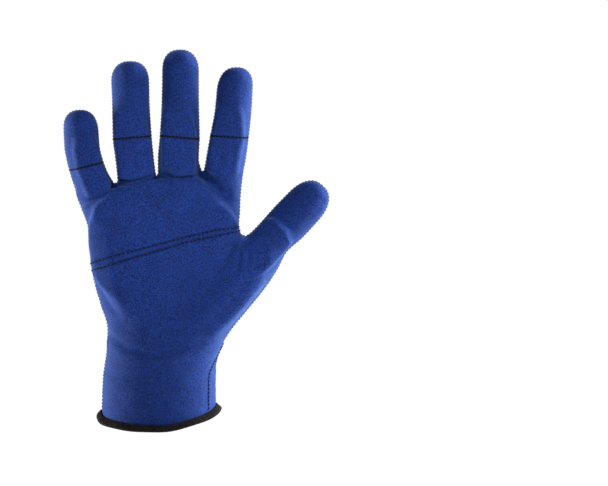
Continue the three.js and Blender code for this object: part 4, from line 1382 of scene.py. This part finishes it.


# %% [markdown]
# The stitches are black thread and the edge is brown thread. Both are spun yarn with little
# gloss, so one function makes them, with its twist as ridges and as painted shade in the furrows between
# plies.

# %% Thread
# Painted shade of the twist: the colour's share in a furrow, and how much it rises on a ridge.
painted_furrow_shade, ply_gain = 0.6, 0.5
ply_depth, ply_strength = 0.0001, 0.7


def thread_material(name, colour, pitch, roughness):
    material, tree, sockets = new_material(
        name, Roughness=roughness, Sheen_Weight=0.04, Sheen_Roughness=0.5, Specular_IOR_Level=0.25)
    twist = place_group(tree, twist_tree, cloth_places(tree), Pitch=pitch)["Height"]
    grain = place_group(tree, grain_tree, object_places(tree), Fine=0.7, Broad=0.4, Size=1600.0)
    # Painted shade: the colour is darker in the furrows between the plies and lighter on their ridges.
    painted_ply_shade = maths(tree, "ADD", painted_furrow_shade, maths(tree, "MULTIPLY", twist, ply_gain))
    shade = maths(tree, "MULTIPLY", grain["Shade"], painted_ply_shade)
    feed(tree, shaded(tree, colour, shade), sockets["Base Color"])
    feed(tree, bump(tree, twist, ply_depth, ply_strength), sockets["Normal"])
    return material


black_thread = thread_material("black_thread", (0.003, 0.0035, 0.007), 0.0006, 0.7)
brown_thread = thread_material("brown_overlock_thread", (0.0078, 0.0040, 0.0042), 0.0009, 0.8)
for piece in (finger_stitches, palm_stitches, seam_stitches, wrist_stitches):
    piece.data.materials.append(black_thread)
cuff_edge.data.materials.append(brown_thread)

# %% [markdown]
# The pads are grey foam. They lie hidden under the cloth, but the cloth may be taken away,
# so they have a finish of their own: cells of a Voronoi pattern, pressed in as small hollows.

# %% Foam
foam_grey = (0.045, 0.048, 0.058)
cell_scale, cell_depth, cell_strength = 1400, 0.0003, 0.6
foam, tree, sockets = new_material("grey_foam", Roughness=0.9, Specular_IOR_Level=0.2)
cells = tree.nodes.new("ShaderNodeTexVoronoi")
feed(tree, cell_scale, cells.inputs["Scale"])
feed(tree, object_places(tree), cells.inputs["Vector"])
grain = place_group(tree, grain_tree, object_places(tree), Fine=0.5, Broad=0.3, Size=900.0)
feed(tree, shaded(tree, foam_grey, grain["Shade"]), sockets["Base Color"])
feed(tree, bump(tree, cells.outputs["Distance"], cell_depth, cell_strength), sockets["Normal"])
for pad in pad_pieces:
    pad.data.materials.append(foam)
print("finishes:", len(bpy.data.materials))

# %% [markdown]
# ## Floor, light and camera
# The glove is shown before white, with no shadow on it. A wide pale floor lies well under the
# glove. It could be one big square, but a disc has no corners that a camera could catch.

# %% The floor
floor_height = -0.22
floor_reach = 5.0


def floor_disc(rings=6, steps=48):
    """Distance from the middle, times the cosine and the sine of the angle round it."""
    radius = floor_reach * (np.arange(rings + 1) / rings)
    angle = 2 * np.pi * np.arange(steps) / steps
    x, y = radius[:, None] * np.cos(angle), radius[:, None] * np.sin(angle)
    points = np.stack([x, y, np.full_like(x, floor_height)], -1).reshape(-1, 3)
    ids = np.arange(len(points)).reshape(rings + 1, steps)
    ids[0] = 0
    around = np.roll(ids, -1, axis=1)
    return points, np.stack([ids[:-1], ids[1:], around[1:], around[:-1]], -1).reshape(-1, 4)


floor_points, floor_faces = floor_disc()
mesh = bpy.data.meshes.new("pale_floor")
mesh.from_pydata(floor_points.tolist(), [], [list(dict.fromkeys(face)) for face in floor_faces.tolist()])
backdrop = put("pale_floor", mesh)
print("floor faces:", len(mesh.polygons))

# %% [markdown]
# The floor of a photo studio looks white because it is lit on its own. Here a Light Path node gives
# it that light for the camera alone, so that it doesn't shine up on to the glove.

# %% Finish of the floor
floor_glow = 0.97
paper_grey = (0.82, 0.82, 0.83)
paper, tree, sockets = new_material("pale_paper", Roughness=0.9, Emission_Color=(1, 1, 1, 1))
grain = place_group(tree, grain_tree, object_places(tree), Fine=0.02, Broad=0.01, Size=500.0)
feed(tree, shaded(tree, paper_grey, grain["Shade"]), sockets["Base Color"])
seen = tree.nodes.new("ShaderNodeLightPath").outputs["Is Camera Ray"]
feed(tree, maths(tree, "MULTIPLY", seen, floor_glow), sockets["Emission Strength"])
backdrop.data.materials.append(paper)

# %% [markdown]
# The room is white where the camera sees it. Its own light is dim, and stronger from behind than
# from the front, so that the middle of the palm stays deep blue and the edges shine.

# %% The white room
room_front, room_back = 0.0, 0.09
world = bpy.data.worlds.new("white_room")
world.use_nodes = True
tree = world.node_tree
towards_back = split(tree, tree.nodes.new("ShaderNodeTexCoord").outputs["Generated"])["Y"]
behind = maths(tree, "ADD", maths(tree, "MULTIPLY", towards_back, 0.5), 0.5)
glow = maths(tree, "ADD", maths(tree, "MULTIPLY", behind, room_back - room_front), room_front)
seen = tree.nodes.new("ShaderNodeLightPath").outputs["Is Camera Ray"]
background = tree.nodes["Background"].inputs
feed(tree, maths(tree, "MAXIMUM", glow, seen), background["Strength"])
background["Color"].default_value = (1, 1, 1, 1)
bpy.context.scene.world = world
print("room's light behind the glove:", room_back)

# %% [markdown]
# The photographer's lamps stood at both sides and behind, so the edges are bright. Soft discs do
# that here. One narrow spot, which fades to its rim, lifts the middle of the palm a little.

# %% Lights
aim = (0.02, 0, 0.11)
# Columns: name, place and width in metres, power in watts.
soft_lamps = [
    ("right_light", (0.9, 0.14, 0.12), 0.35, 10),
    ("high_right_light", (0.75, 0.16, 0.8), 0.4, 7),
    ("right_front_light", (0.64, -0.52, 0.62), 0.25, 4.0),
    ("left_light", (-0.95, 0.22, 0.1), 0.35, 15),
    ("back_light", (1.1, 0.62, 0.75), 0.4, 8),
]
spot_place, spot_aim, spot_power = (-0.1, -0.85, 0.4), (0.003, -0.02, 0.131), 23.0
spot_cone, spot_radius = math.radians(10), 0.08


def lamp(name, kind, place, at, power):
    light = bpy.data.lights.new(name, kind)
    light.energy = power
    holder = put(name, light)
    holder.location = place
    holder.visible_camera = False
    holder.rotation_euler = (Vector(at) - Vector(place)).to_track_quat("-Z", "Y").to_euler()
    return light


for name, place, width, power in soft_lamps:
    light = lamp(name, "AREA", place, aim, power)
    light.shape = "DISK"
    light.size = width
spot = lamp("palm_light", "SPOT", spot_place, spot_aim, spot_power)
spot.spot_size = spot_cone
spot.spot_blend = 1.0
spot.shadow_soft_size = spot_radius
print("lights:", len(bpy.data.lights))

# %% [markdown]
# The camera stands where the photographer stood: far off, so that the glove hardly widens towards
# it, a little above the middle, and aimed so that the glove lies in the left half of the picture.

# %% Camera
lens, sensor = 300, 36
picture_width, picture_height = 608, 486
pixel = 0.625 * MM            # size of a pixel at the glove
wrist_pixel = (159.5, 412)    # where the middle of the wrist lies in the picture
camera_tilt = math.radians(3.2)
camera_far = picture_width * pixel * lens / sensor
target = Vector(((picture_width / 2 - wrist_pixel[0]) * pixel, 0,
                 (wrist_pixel[1] - picture_height / 2) * pixel))
camera_data = bpy.data.cameras.new("photo_camera")
camera_data.lens = lens
camera_data.sensor_width = sensor
camera_data.clip_end = 20
camera = put("photo_camera", camera_data)
camera.location = target + camera_far * Vector((0, -math.cos(camera_tilt), math.sin(camera_tilt)))
camera.rotation_euler = (target - camera.location).to_track_quat("-Z", "Y").to_euler()
bpy.context.scene.camera = camera
bpy.context.scene.view_settings.view_transform = "Standard"
print("camera is", round(camera_far, 3), "m away")
